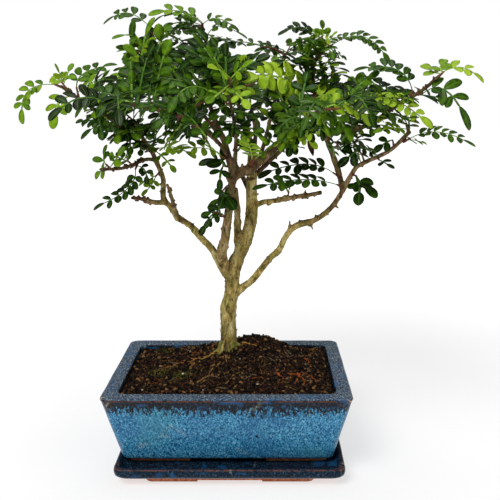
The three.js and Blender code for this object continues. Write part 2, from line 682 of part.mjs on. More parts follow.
// One compound leaf: a thin arched blade, its outline cut to the rib between the leaflets
function leafSolid(base, middle, tip, sky, grow) {
  const control = middle.clone().multiplyScalar(2).addScaledVector(base, -0.5).addScaledVector(tip, -0.5);
  const rib = new THREE.QuadraticBezierCurve3(base, control, tip);
  const length = rib.getLength();
  const leafletShare = 1 - petioleShare - terminalShare;
  const pairs = Math.max(1, Math.round((leafletShare * length) / leafletSpacing));
  const heading = tip.clone().sub(base).setZ(0);
  if (heading.length() < 0.25 * length) {
    heading.set(tip.x, tip.y + length, 0);
  }
  const flatSide = heading.normalize().cross(sky).multiplyScalar(0.25);
  const spacing = leafletShare / pairs;
  const reach = THREE.MathUtils.clamp(length * 0.21, 7, 11) + grow;
  const half = bladeThickness / 2 + grow;
  const cup = 0.12;
  const points = [];
  const place = (share, side) => {
    const centre = rib.getPoint(share);
    const along = rib.getTangent(THREE.MathUtils.clamp(share, 0, 1));
    const across = along.clone().cross(sky).add(flatSide);
    across.addScaledVector(along, -across.dot(along)).normalize();
    const up = across.clone().cross(along);
    const point = centre.addScaledVector(across, side).addScaledVector(up, cup * Math.abs(side));
    points.push(point.clone().addScaledVector(up, half));
    points.push(point.clone().addScaledVector(up, -half));
    return points.length - 2;
  };
  const faces = [];
  const rim = { left: [], right: [] };
  const ribSide = ribHalfWidth + grow;
  const signs = { left: -1, right: 1 };
  const notches = { left: [], right: [] };
  const shift = grow / length;
  for (const side of ['left', 'right']) {
    const sign = signs[side];
    const first = place(-shift, sign * ribSide);
    rim[side].push(first);
    notches[side].push(first);
    let notch = place(petioleShare, sign * ribSide);
    rim[side].push(notch);
    notches[side].push(notch);
    for (let pair = 0; pair < pairs; pair += 1) {
      const share = petioleShare + pair * spacing;
      const swell = reach * (0.78 + 0.22 * Math.sin((Math.PI * (pair + 0.6)) / pairs));
      const near = place(share + 0.16 * spacing - shift, sign * swell * 0.72);
      const far = place(share + 0.8 * spacing + shift, sign * swell);
      const nextNotch = place(share + spacing, sign * ribSide);
      rim[side].push(near, far, nextNotch);
      notches[side].push(nextNotch);
      const leaflet = [[notch, near, far], [notch, far, nextNotch]];
      faces.push(...leaflet.map((face) => (sign > 0 ? face : [...face].reverse())));
      notch = nextNotch;
    }
  }
  for (let station = 0; station < notches.left.length - 1; station += 1) {
    const [left, right] = [notches.left, notches.right];
    faces.push([left[station], right[station], right[station + 1]]);
    faces.push([left[station], right[station + 1], left[station + 1]]);
  }
  const lastLeft = notches.left.at(-1);
  const lastRight = notches.right.at(-1);
  const middleShare = 1 - terminalShare * 0.5;
  const leftBulge = place(middleShare, -reach * 0.42);
  const rightBulge = place(middleShare, reach * 0.42);
  const end = place(1 + shift, 0);
  faces.push([lastLeft, lastRight, rightBulge], [lastLeft, rightBulge, leftBulge]);
  faces.push([leftBulge, rightBulge, end]);
  const outline = [...rim.right, rightBulge, end, leftBulge, ...rim.left.toReversed()];
  const triangles = [];
  for (const [a, b, c] of faces) {
    triangles.push([a, b, c], [a + 1, c + 1, b + 1]);
  }
  outline.forEach((point, index) => {
    const next = outline[(index + 1) % outline.length];
    triangles.push([point, point + 1, next + 1], [point, next + 1, next]);
  });
  return solidOf(geometryOf(points, triangles));
}

function pointAlong(route, share) {
  const points = route.map((point) => new THREE.Vector3(...point));
  const path = new THREE.CurvePath();
  for (let index = 0; index < points.length - 1; index += 1) {
    path.add(new THREE.LineCurve3(points[index], points[index + 1]));
  }
  return path.getPointAt(share);
}

function spraySolid(route, leaves, grow) {
  const parts = [tube(route, twigRadius, twigTipRadius, twigSides, grow)];
  leaves.forEach(([at, middle, tip], index) => {
    const base = pointAlong(route, Math.min(at, 0.97));
    const sky = leafSky(base, index);
    parts.push(leafSolid(base, new THREE.Vector3(...middle), new THREE.Vector3(...tip), sky, grow));
  });
  return wasm.Manifold.union(parts);
}

// Putting the tree together, with its origin at the middle of the base of its whole box
const tree = new THREE.Group();
const woodClear = woodSolid(gap);
tree.add(meshOf('saucer', saucerSolid(), darkGlaze));
tree.add(meshOf('pot', potSolid(), clayBlue));
tree.add(meshOf('drainage_screen_left', screenSolid(-1), screenBlack));
tree.add(meshOf('drainage_screen_right', screenSolid(1), screenBlack));
tree.add(meshOf('soil', soilSolid(woodClear), soilBrown));
tree.add(meshOf('tree_wood', woodSolid(0), bark));

const allSprays = [
  ...sprays,
  ...fullSprays.map(([name, colour, start, end], index) => [
    name,
    colour,
    [start, end],
    fullSprayLeavesOf(index, start, end),
  ]),
];
const placed = [];
for (const [name, colour, route, leaves] of allSprays) {
  let solid = spraySolid(route, leaves, 0).subtract(woodClear);
  for (const earlier of placed) {
    solid = solid.subtract(earlier);
  }
  placed.push(spraySolid(route, leaves, gap));
  const material = new THREE.MeshStandardMaterial({
    color: leafColours[colour],
    roughness: 0.4,
    metalness: 0,
  });
  tree.add(meshOf(`spray_${name}`, mainBody(solid), material));
}

const extent = new THREE.Box3().setFromObject(tree);
const middle = extent.getCenter(new THREE.Vector3());
tree.position.set(-middle.x, -middle.y, -extent.min.z);
tree.updateMatrixWorld(true);

export default tree;
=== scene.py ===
"""A Japanese pepper bonsai in its glazed pot: the looks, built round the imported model.

Points are in millimetres from the middle of the pot, at the height of the table, unless a
comment says otherwise. The limbs' routes and the sprays' leaves are those of the solid model.
"""

import math
import random

import bpy
import numpy as np
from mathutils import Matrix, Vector, kdtree, noise


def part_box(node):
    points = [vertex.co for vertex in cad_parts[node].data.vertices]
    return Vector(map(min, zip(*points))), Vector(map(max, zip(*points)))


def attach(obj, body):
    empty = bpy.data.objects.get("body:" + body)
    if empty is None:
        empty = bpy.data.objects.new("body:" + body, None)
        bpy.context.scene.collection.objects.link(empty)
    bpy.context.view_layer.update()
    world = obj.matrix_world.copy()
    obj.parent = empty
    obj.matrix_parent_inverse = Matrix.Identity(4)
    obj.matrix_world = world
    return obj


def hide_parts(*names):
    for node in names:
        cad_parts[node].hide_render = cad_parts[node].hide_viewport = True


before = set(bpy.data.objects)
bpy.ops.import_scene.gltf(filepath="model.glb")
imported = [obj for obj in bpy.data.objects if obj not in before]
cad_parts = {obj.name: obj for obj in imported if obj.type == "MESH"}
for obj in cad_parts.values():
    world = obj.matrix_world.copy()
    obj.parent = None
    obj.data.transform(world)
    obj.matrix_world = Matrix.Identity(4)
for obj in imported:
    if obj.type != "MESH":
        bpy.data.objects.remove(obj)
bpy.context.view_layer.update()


def table_rows(table):
    """The rows of a table. A row runs on over the indented lines below it."""
    return table.strip().replace("\n    ", " ").splitlines()


def read_points(text):
    """The points written in a text, with commas between them."""
    return tuple(tuple(map(float, point.split())) for point in text.split(","))


def read_limbs(table):
    """Each limb by its name: its route, and the radius at its start and its end."""
    limbs = {}
    for row in table_rows(table):
        name, start_radius, end_radius, route = row.split(maxsplit=3)
        limbs[name] = read_points(route), float(start_radius), float(end_radius)
    return limbs


def read_sprays(table):
    """Each spray: name, shade, the twig's route, and for each leaf its share, middle and tip."""
    sprays = []
    for row in table_rows(table):
        twig, *written = row.split("|")
        name, shade, route = twig.split(maxsplit=2)
        leaves = []
        for leaf in written:
            share, ends = leaf.split(maxsplit=1)
            leaves.append((float(share), *read_points(ends)))
        sprays.append((name, shade, read_points(route), leaves))
    return sprays


def read_seen_leaves(table):
    """Each leaf: its group, base, middle and tip, its depth, its shade and its form."""
    leaves = []
    for row in table_rows(table):
        group, written = row.split(maxsplit=1)
        for leaf in written.split(";"):
            spots, look = leaf.split(":")
            depth, shade, *form = look.split()
            form = tuple(map(float, form))
            leaves.append((group, *read_points(spots), float(depth), shade, form))
    return leaves


def read_forms(table):
    """Each spray's leaf form, by the spray's name."""
    return {name: tuple(map(float, form)) for name, *form in map(str.split, table.split(","))}


# Limbs: the name, the radius at the start and the end, and the route
LIMBS = read_limbs("""
trunk 7.8 4.2
    -3 14 52, -3 13 82, -2 13 93, -2 12 120, 1 11 135, 2 10 149, 5 9 163, 11 8 176, 16 7 190,
    19 6 206, 19 6 230, 20 7 256
deadStem 4.4 1.8 7 8 164, 8 6 178, 7 4 191, 7 3 210, 6 3 228
leftStem 4.7 1.7
    1 9 149, -5 4 163, -6 -2 175, -3 -6 187, -1 -9 201, 1 -12 215, 3 -14 229, 4 -16 241, 1 -20 256,
    -2 -24 269, -8 -26 283, -13 -28 298
knottedBranch 4.2 1.8 2 -16 238, 10 -15 243, 17 -12 245, 26 -10 251, 37 -8 261, 43 -4 269, 48 4 284
leftLimb 3.4 1.6
    1 10 145, -7 11 158, -15 14 173, -25 17 183, -34 20 193, -45 22 200, -52 24 209, -58 25 217,
    -58 26 233, -62 26 245, -67 25 257, -74 22 269, -80 16 284
leftStub 2.4 1.3 -56 24 213, -66 20 214, -72 16 216, -76 13 218, -83 10 219
leftSpur 2 1.3 -47 22 204, -49 19 213, -50 17 219, -53 14 230
rightLimb 3.1 1.5
    3 11 132, 11 9 141, 19 5 148, 27 1 159, 35 -3 170, 42 -6 177, 47 -8 188, 53 -9 196, 60 -10 200,
    70 -12 203, 80 -14 210, 89 -16 221, 101 -19 244, 107 -20 250, 128 -26 261, 142 -33 276
rightRiser 2.4 1.4 93 -17 229, 90 -12 243, 83 -4 263, 78 0 276, 74 7 298, 69 14 325, 80 16 342
rightReach 2 1.3 79 -3 271, 88 -8 275, 110 -18 280, 130 -26 294, 150 -33 307, 162 -37 318
rightStub 2.4 1.6 19 6 211, 28 4 216, 33 2 217, 44 -2 219, 57 -5 222, 67 -8 224, 76 -10 226
farLeftTwig 1.8 1.2 -67 25 257, -81 18 269, -95 8 284, -112 -6 296, -130 -18 311
lowLeftTwig 1.7 1.2 -65 26 250, -71 13 251, -85 -8 246, -101 -22 246
crownStem 2.2 1.1 20 7 251, 18 14 267, 4 30 305, -18 40 342, -23 43 361
frontStem 1.8 1.1 4 -16 239, 7 -32 256, 8 -50 279, 3 -66 308
backRightStem 2 1.1 20 6 243, 28 20 259, 41 48 309, 48 54 339
midLeftStem 1.7 1.1 -2 -24 269, -22 -12 292, -35 0 302, -48 10 307, -66 18 310, -81 22 317
lowFrontLeftStem 1.6 1.1 1 -20 256, -8 -36 270, -31 -58 287, -64 -74 297
frontRightStem 1.7 1.1 36 -8 260, 50 -32 276, 62 -58 288, 72 -80 294
backLeftStem 2.3 1.1 19 6 222, 8 28 240, -10 52 262, -36 76 284, -58 92 300
backStem 2 1.1 20 7 250, 22 34 272, 18 66 292, 10 98 306
farRightBackStem 2.2 1.1 19 6 236, 38 30 252, 60 58 270, 84 84 288, 104 100 296
""")
ROOTS = [read_points(row) for row in table_rows("""
-3 13 86, -14 9 81, -24 4 72
-3 13 86, -10 2 80, -15 -8 68
-3 13 86, 8 13 86, 20 12 76
-3 13 86, 2 3 82, 6 -8 68
-3 13 86, -8 24 84, -12 36 72
""")]
# Sprays: the name, the shade and the twig's route, and then for each leaf how far along the twig
# it starts, its middle and its tip
SPRAYS = read_sprays("""
far_left_arch dark -129 -18 310, -134 -20 312 | 1 -155 -25 305, -156 -30 279
far_left_rosette light -125 -15 307, -130 -14 314 |
    1 -131 -14 320, -134 -18 327 | 0.7 -126 -10 321, -122 -6 328 | 0.4 -135 -8 317, -143 0 316
far_left_drop light -119 -12 303, -123 -17 303 | 1 -132 -24 295, -133 -28 274
far_left_rise mid -118 -11 302, -120 -8 310 |
    1 -113 2 323, -86 16 329 | 0.5 -102 -16 315, -80 -20 320
left_edge_dark dark -101 1 289, -104 -7 287 |
    1 -109 -12 286, -115 -16 280 | 0.8 -101 -13 279, -100 -18 269 | 0.4 -113 6 284, -130 14 283
low_twig_left mid -92 -14 244, -97 -19 250 |
    1 -98 -22 256, -94 -22 264 | 0.5 -88 -18 255, -83 -14 264 | 0.8 -102 -14 244, -108 -10 238
low_twig_mid mid -79 0 247, -82 -6 252 | 1 -79 -10 259, -70 -14 268 | 0.4 -91 6 253, -106 14 256
hanging_left dark -76 4 248, -77 0 244 | 1 -85 -6 227, -116 -14 212 | 0.3 -69 2 242, -70 2 230
low_light_left light -60 25 240, -64 22 236 | 1 -68 18 228, -76 12 220 | 0.5 -72 28 232, -81 34 228
left_limb_front light -66 24 255, -60 12 260 | 1 -43 0 262, -25 -14 254 | 0.6 -52 6 251, -45 2 242
left_tip_dark dark -79 17 282, -84 6 289 |
    1 -94 -6 280, -99 -14 269 | 0.7 -83 -2 278, -78 -8 267 | 0.4 -97 14 295, -116 22 297
top_left_front mid -66 18 310, -67 20 330, -69 20 347 |
    1 -62 16 360, -51 8 366 | 0.96 -80 12 352, -92 4 347 | 0.85 -82 28 341, -97 36 343 |
    0.7 -76 6 334, -82 -4 331
top_left_arch mid -60 15 309, -60 30 337, -65 32 360 |
    1 -86 34 372, -105 34 361 | 0.8 -51 40 355, -38 48 346 | 0.55 -79 44 329, -99 56 326
peak_left light -22 43 359, -24 44 365 | 1 -38 38 371, -55 32 369 | 0.6 -40 50 365, -58 56 354
peak_right mid -20 41 349, -18 36 355 | 1 -4 34 361, 19 30 347 | 0.5 -5 46 352, 18 54 347
front_left_long mid 6 -59 295, -2 -66 301 |
    1 -33 -66 314, -68 -60 314 | 0.5 -22 -78 309, -35 -86 290
front_rosette light 3 -65 306, 6 -71 315 |
    1 -1 -80 320, -8 -86 321 | 0.95 13 -76 321, 20 -78 326 | 0.5 -2 -82 304, -10 -92 298 |
    0.3 12 -80 303, 19 -90 294 | 0.85 -14 -60 327, -41 -50 333
front_left_light light -1 -22 255, -5 -28 257 | 1 -16 -42 264, -42 -50 263
front_center_light light 17 -12 248, 20 -22 254 | 1 19 -44 264, 15 -60 273
front_right_light light 18 -12 247, 22 -20 254 | 1 48 -44 271, 78 -62 276
crown_front_big light 74 6 297, 69 2 302 | 1 39 -22 318, 12 -44 313 | 0.6 60 -12 294, 48 -24 287
right_peak_bud light 78 16 341, 77 15 350 |
    1 77 12 356, 76 8 361 | 0.8 72 20 354, 68 24 358 | 0.5 83 11 350, 87 4 353
right_peak_left dark 74 15 337, 70 12 348 | 1 59 8 358, 38 2 348
right_peak_front mid 69 14 325, 66 8 332 | 1 68 0 343, 78 -8 350 | 0.5 62 2 334, 55 -8 325
right_peak_arch mid 79 16 341, 86 14 345 | 1 112 10 350, 132 4 327 | 0.4 90 22 339, 100 28 333
back_peak mid 48 54 338, 51 51 344 | 1 59 44 351, 77 36 353 | 0.5 33 64 346, 17 74 334
right_inner dark 76 4 288, 84 6 295 | 1 102 6 311, 120 4 320 | 0.6 105 18 306, 131 24 305
right_long_light light 77 1 282, 83 -6 290 | 1 120 -36 302, 155 -52 278
right_dark_back dark 140 -30 299, 145 -24 307 | 1 130 -14 325, 97 -4 321
right_dark_trio dark 125 -24 290, 123 -31 292 |
    1 112 -38 297, 96 -46 294 | 0.6 114 -42 290, 110 -50 278
far_right_light light 161 -37 317, 165 -38 321 |
    1 180 -42 323, 193 -46 310 | 0.6 157 -30 322, 153 -24 328 | 0.8 164 -32 325, 170 -26 330
far_right_dark dark 146 -32 304, 149 -38 304 |
    1 167 -48 305, 185 -58 270 | 0.4 160 -20 303, 180 -10 300
right_low_arch mid 138 -30 268, 142 -35 271 |
    1 164 -44 276, 189 -54 264 | 0.4 149 -24 269, 160 -18 265
right_low_tip light 141 -33 275, 139 -34 281 |
    1 130 -36 287, 118 -38 284 | 0.5 126 -44 279, 111 -54 277
right_low_mid dark 119 -24 256, 120 -29 254 |
    1 124 -35 252, 131 -42 248 | 0.4 105 -34 264, 91 -44 263
left_going_upper dark 91 -14 239, 85 -17 243 | 1 58 -20 250, 21 -26 239
left_going_lower dark 94 -18 230, 88 -23 234 | 1 55 -34 239, 20 -44 232
right_hanging dark 100 -19 242, 103 -25 241 |
    1 108 -30 234, 122 -38 224 | 0.8 104 -36 231, 100 -44 221
right_up_mid dark 84 -5 261, 89 -10 264 | 1 99 -18 269, 116 -28 269 | 0.4 101 4 258, 119 12 254
center_right_dark dark 79 -1 273, 72 -8 276 | 1 57 -16 277, 34 -24 272 | 0.5 62 -19 281, 46 -35 277
stub_leaves mid 49 -3 220, 50 -5 226 | 1 52 -8 232, 58 -12 235 | 0.7 46 -2 231, 41 2 229
stem_left_leaf_low dark 0 -10 206, -6 -15 207 |
    1 -12 -20 207, -19 -26 195 | 0.8 -7 -19 218, -1 -23 227
stem_left_leaf_top dark 2 -18 248, -3 -24 249 |
    1 -5 -30 241, -4 -36 229 | 0.6 -11 -26 254, -18 -32 247
""")
# Fuller sprays, whose leaves are set by rule
FULL_SPRAYS = read_sprays("""
back_left_end dark -56 91 298, -72 102 306
back_left_side dark -34 74 282, -54 62 292
back_end dark 11 95 305, 4 114 311
back_side mid 18 66 291, 34 80 304
back_right_end dark 102 98 295, 118 108 300
back_right_side mid 82 82 287, 100 66 298
front_right_end mid 70 -77 293, 82 -92 294
front_left_end dark -62 -73 296, -78 -84 296
left_crown dark -47 9 307, -62 -10 300
left_crown_back dark -73 22 268, -90 38 277
top_crown mid 5 29 303, -6 56 318
""")

# Pot, saucer and soil
POT_WIDTH, POT_DEPTH, POT_TOP = 200, 141.6, 71.5
POT_FOOT_BASE, POT_BODY_BASE = 9.5, 13.6
POT_BASE_WIDTH, POT_BASE_DEPTH = 174, 115.6
RIM_WIDTH, CAVITY_FLOOR, CAVITY_INSET, POT_CORNER = 12.5, 21, 21, 7
DRAIN_RADIUS, DRAIN_OFFSET = 8, 42
SAUCER_CENTRE = (2, -3)
SAUCER_WIDTH, SAUCER_DEPTH = 185, 149
SOIL_EDGE = POT_TOP - 4.5
SOIL_MOUNDS = ((0, 14, 15, 46), (30, 28, 13, 30))

MILLIMETRE = 0.001
pot_low, pot_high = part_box("pot")
ORIGIN = np.array([(pot_low.x + pot_high.x) / 2, (pot_low.y + pot_high.y) / 2, 0])


def metres(points):
    return np.asarray(points, float) * MILLIMETRE + ORIGIN


# The photograph's camera, in millimetres and pixels of its 500 x 500 frame
CAMERA_PLACE = np.array([29.9, -581, 296.5])
CAMERA_PITCH = math.atan(145.3 / 700)
FOCAL_PIXELS, FRAME_PIXELS = 700, 500
PRINCIPAL_X, PRINCIPAL_Y = 264.5, 250


def from_photo(x, y, depth):
    """The point in the plane Y = depth that shows at a pixel of the photograph's frame."""
    across, down = (x - PRINCIPAL_X) / FOCAL_PIXELS, (y - PRINCIPAL_Y) / FOCAL_PIXELS
    cosine, sine = math.cos(CAMERA_PITCH), math.sin(CAMERA_PITCH)
    away = (depth - CAMERA_PLACE[1]) / (cosine - down * sine)
    return CAMERA_PLACE[0] + across * away, depth, CAMERA_PLACE[2] - away * (down * cosine + sine)


NO_TINT = (0, 0, 0, 0)


class Shell:
    """The points and faces of one piece, with a tint at each point and a paint on each face."""

    def __init__(self):
        self.points, self.tints, self.faces, self.paints = [], [], [], []
        self.count = 0

    def add(self, points, faces, tint=NO_TINT, paint=0):
        points = np.asarray(points, float)
        self.points.append(points)
        self.tints.append(np.broadcast_to(np.asarray(tint, float), (len(points), 4)))
        self.faces.extend([[self.count + corner for corner in face] for face in faces])
        self.paints.extend([paint] * len(faces))
        self.count += len(points)


def add_tint(mesh, tints):
    tint = mesh.attributes.new("tint", "FLOAT_COLOR", "POINT")
    tint.data.foreach_set("color", np.asarray(tints, np.float32).ravel())


def shade_smooth(mesh, smooth=True):
    mesh.polygons.foreach_set("use_smooth", [smooth] * len(mesh.polygons))


def mesh_of(name, shell, smooth=True):
    mesh = bpy.data.meshes.new(name)
    mesh.from_pydata(metres(np.concatenate(shell.points)).tolist(), [], shell.faces)
    mesh.polygons.foreach_set("material_index", shell.paints)
    shade_smooth(mesh, smooth)
    add_tint(mesh, np.concatenate(shell.tints))
    mesh.update()
    return mesh


def linked(name, data):
    """A new object in the scene."""
    obj = bpy.data.objects.new(name, data)
    bpy.context.scene.collection.objects.link(obj)
    return obj


def modified(obj):
    """A new mesh of an object with its modifiers worked in."""
    bpy.context.view_layer.update()
    final = obj.evaluated_get(bpy.context.evaluated_depsgraph_get())
    return bpy.data.meshes.new_from_object(final)


def place(name, mesh, materials, slot, replaced=()):
    """Puts a finished mesh in the scene as a piece of the object."""
    for material in materials:
        mesh.materials.append(material)
    obj = linked(name, mesh)
    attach(obj, "root")
    if replaced:
        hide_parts(*replaced)


def place_shell(name, shell, materials, slot, replaced=(), smooth=True):
    place(name, mesh_of(name, shell, smooth), materials, slot, replaced)


# Shapes
def unit(vector):
    return vector / np.linalg.norm(vector)


def units(vectors):
    return vectors / np.linalg.norm(vectors, axis=1)[:, None]


def circle(count):
    """The angles of evenly spaced points round a circle."""
    return math.tau * np.arange(count) / count


def smooth_route(route, step):
    """Points about one step apart on a smooth curve through the route."""
    points = np.asarray(route, float)
    ends = (2 * points[0] - points[1], 2 * points[-1] - points[-2])
    padded = np.vstack([ends[0], points, ends[1]])
    curve = []
    for a, b, c, d in zip(padded, padded[1:], padded[2:], padded[3:]):
        count = max(1, round(np.linalg.norm(c - b) / step))
        for t in np.arange(count) / count:
            bend = (2 * a - 5 * b + 4 * c - d) * t**2 + (3 * b - a - 3 * c + d) * t**3
            curve.append((2 * b + (c - a) * t + bend) / 2)
    curve.append(points[-1])
    return np.array(curve)


def skin(shell, rings, tint=NO_TINT, paint=0):
    """A closed skin over rings of equal length, with a flat cap at both ends."""
    rings = np.asarray(rings)
    count, sides = rings.shape[:2]
    faces = [list(range(sides))[::-1]]
    for ring in range(count - 1):
        for side in range(sides):
            low, high = ring * sides, (ring + 1) * sides
            after = (side + 1) % sides
            faces.append([low + side, low + after, high + after, high + side])
    faces.append([(count - 1) * sides + side for side in range(sides)])
    shell.add(rings.reshape(-1, 3), faces, tint, paint)


END_REACH, END_RADIUS = 0.5, 0.55


def tube(shell, route, radii, sides, tint=NO_TINT, paint=0):
    """A closed tube with rounded ends along a fine route."""
    route, radii = np.asarray(route, float), np.asarray(radii, float)
    directions = units(np.gradient(route, axis=0))
    angle = circle(sides)[:, None]
    normal = np.array([1, 0.3, 0.1])
    rings = []
    for point, ahead, radius in zip(route, directions, radii):
        normal = unit(normal - ahead * (normal @ ahead))
        ring = np.cos(angle) * normal + np.sin(angle) * np.cross(ahead, normal)
        if not rings:
            rings.append(point - ahead * radius * END_REACH + ring * radius * END_RADIUS)
        rings.append(point + ring * radius)
    rings.append(point + ahead * radius * END_REACH + ring * radius * END_RADIUS)
    skin(shell, rings, tint, paint)


# Materials
class Paint:
    """A material in the making: each call adds one shader node and gives its output."""

    def __init__(self, name, roughness, specular):
        self.material = bpy.data.materials.new(name)
        self.material.use_nodes = True
        self.tree = self.material.node_tree
        self.shader = self.tree.nodes["Principled BSDF"]
        self.shader.inputs["Roughness"].default_value = roughness
        self.shader.inputs["Specular IOR Level"].default_value = specular
        self.place = self.node("ShaderNodeTexCoord").outputs["Object"]

    def node(self, kind, inputs=(), **settings):
        """A new node, with a value or another node's output in each of the inputs given."""
        made = self.tree.nodes.new(kind)
        for key, value in settings.items():
            setattr(made, key, value)
        for key, value in dict(inputs).items():
            self.feed(made.inputs[key], value)
        return made

    def feed(self, socket, value):
        if isinstance(value, bpy.types.NodeSocket):
            self.tree.links.new(value, socket)
        elif isinstance(value, str):
            socket.default_value = colour(value)
        else:
            socket.default_value = value

    def stretched(self, scale, shift=(0, 0, 0)):
        inputs = {"Vector": self.place, "Scale": scale, "Location": shift}
        return self.node("ShaderNodeMapping", inputs).outputs["Vector"]

    def noise(self, scale, detail=3, distortion=0, place=None, roughness=0.5):
        return self.node("ShaderNodeTexNoise", {
            "Vector": place or self.place, "Scale": scale, "Detail": detail,
            "Roughness": roughness, "Distortion": distortion,
        }).outputs["Fac"]

    def cells(self, scale, place=None):
        """The distance to the middle of the nearest cell."""
        inputs = {"Vector": place or self.place, "Scale": scale}
        return self.node("ShaderNodeTexVoronoi", inputs).outputs["Distance"]

    def step(self, value, low, high, to_low=0, to_high=1):
        """Value, mapped smoothly from low..high to to_low..to_high."""
        return self.node("ShaderNodeMapRange", {
            "Value": value, "From Min": low, "From Max": high, "To Min": to_low, "To Max": to_high,
        }, interpolation_type="SMOOTHSTEP").outputs["Result"]

    def math(self, operation, a, b=0.0):
        return self.node("ShaderNodeMath", {0: a, 1: b}, operation=operation).outputs[0]

    def plus(self, a, b):
        return self.math("ADD", a, b)

    def minus(self, a, b):
        return self.math("SUBTRACT", a, b)

    def times(self, a, b):
        return self.math("MULTIPLY", a, b)

    def absolute(self, value):
        return self.math("ABSOLUTE", value)

    def mix(self, share, a, b):
        return self.node("ShaderNodeMix", {0: share, 6: a, 7: b}, data_type="RGBA").outputs[2]

    def coat(self, share, shade):
        """Lays a colour over the base colour, as thickly as the share says."""
        self.base = self.mix(share, self.base, shade)

    def ramp(self, value, stops):
        made = self.node("ShaderNodeValToRGB", {"Fac": value})
        elements = made.color_ramp.elements
        while len(elements) < len(stops):
            elements.new(0.5)
        for element, (at, shade) in zip(elements, stops):
            element.position = at
            element.color = colour(shade)
        return made.outputs["Color"]

    def tint(self):
        """The four numbers that each point of the piece carries."""
        made = self.node("ShaderNodeAttribute", attribute_name="tint")
        split = self.node("ShaderNodeSeparateColor", {"Color": made.outputs["Color"]})
        return [*split.outputs, made.outputs["Alpha"]]

    def split(self, vector):
        return self.node("ShaderNodeSeparateXYZ", {"Vector": vector}).outputs

    def finish(self, bump, depth, strength, roughness=None):
        self.feed(self.shader.inputs["Base Color"], self.base)
        if roughness is not None:
            self.feed(self.shader.inputs["Roughness"], roughness)
        made = self.node("ShaderNodeBump", {"Distance": depth, "Strength": strength, "Height": bump})
        self.feed(self.shader.inputs["Normal"], made.outputs["Normal"])
        return self.material


def colour(text):
    """A colour for the shader from six digits of screen colour."""
    channels = [int(text[at : at + 2], 16) / 255 for at in (0, 2, 4)]
    return [c / 12.92 if c <= 0.04045 else ((c + 0.055) / 1.055) ** 2.4 for c in channels] + [1]


def leaf_paint(name, shades, gloss):
    """Leaflets: shades by each leaflet's tone, a pale rib, faint veins, a duller underside."""
    paint = Paint(name, gloss, 0.13)
    tone, underside, side, along = paint.tint()
    patch = paint.noise(260)
    tone = paint.plus(tone, paint.step(patch, 0.3, 0.7, -0.16, 0.16))
    last = len(shades) - 1
    paint.base = paint.ramp(tone, [(at / last, shade) for at, shade in enumerate(shades)])
    slanted = paint.minus(along, paint.times(side, 0.22))
    vein = paint.step(paint.math("SINE", paint.times(slanted, 50)), 0.55, 1)
    paint.coat(paint.times(vein, 0.16), shades[-1])
    rib = paint.step(side, 0.03, 0.13, 1, 0)
    paint.coat(paint.times(rib, 0.3), "7fa022")
    paint.coat(underside, paint.mix(0.4, paint.base, "547d16"))
    rough = paint.step(patch, 0.2, 0.8, gloss - 0.06, gloss + 0.1)
    rough = paint.plus(rough, paint.times(underside, 0.2))
    sunken = paint.plus(paint.times(vein, 0.3), rib)
    relief = paint.minus(paint.times(paint.noise(900, 2), 0.5), sunken)
    return paint.finish(relief, 0.00012, 0.6, rough)


def toned_paint(name, roughness, specular, stops, spots, spread, spot_shade):
    """A paint coloured by each point's tone, with soft spots of one more shade."""
    paint = Paint(name, roughness, specular)
    paint.base = paint.ramp(paint.tint()[0], stops)
    paint.coat(paint.step(paint.noise(*spots), *spread), spot_shade)
    return paint


def rachis_paint():
    """Leaf stalks and wings: yellow-green, browner on old leaves."""
    stops = (0, "264f12"), (0.5, "4e7f1c"), (1, "8cb038")
    paint = toned_paint("leaf_stalk", 0.5, 0.4, stops, (300,), (0.52, 0.72, 0, 0.4), "6b5a24")
    return paint.finish(paint.noise(1200, 2), 0.0001, 0.4)


def twig_paint():
    """Thin shoots: red-brown with paler dots."""
    stops = (0, "35190f"), (0.5, "6a3a1e"), (1, "a8642e")
    spots, spread = (420, 3, 0.4), (0.45, 0.7, 0, 0.6)
    paint = toned_paint("twig_bark", 0.62, 0.35, stops, spots, spread, "22130c")
    dots = paint.step(paint.cells(900), 0.12, 0.22, 1, 0)
    paint.coat(paint.times(dots, 0.4), "b09a70")
    return paint.finish(paint.noise(900, 4), 0.0003, 0.7)


def fibre_paint():
    """Roots and fibres: orange, yellow or pale brown by their tone."""
    stops = (0, "20110a"), (0.3, "4a2412"), (0.5, "b0521a"), (0.75, "ab8436"), (1, "a08e6c")
    paint = toned_paint("root_fibre", 0.7, 0.3, stops, (500,), (0.45, 0.65, 0, 0.7), "2c180c")
    return paint.finish(paint.noise(900), 0.0003, 0.6)


def moss_paint():
    stops = (0, "26340b"), (0.5, "5c6618"), (1, "a19c30")
    paint = toned_paint("moss", 0.85, 0.2, stops, (800, 2), (0.45, 0.7, 0, 0.5), "35400f")
    return paint.finish(paint.noise(1500, 2), 0.0002, 0.6)


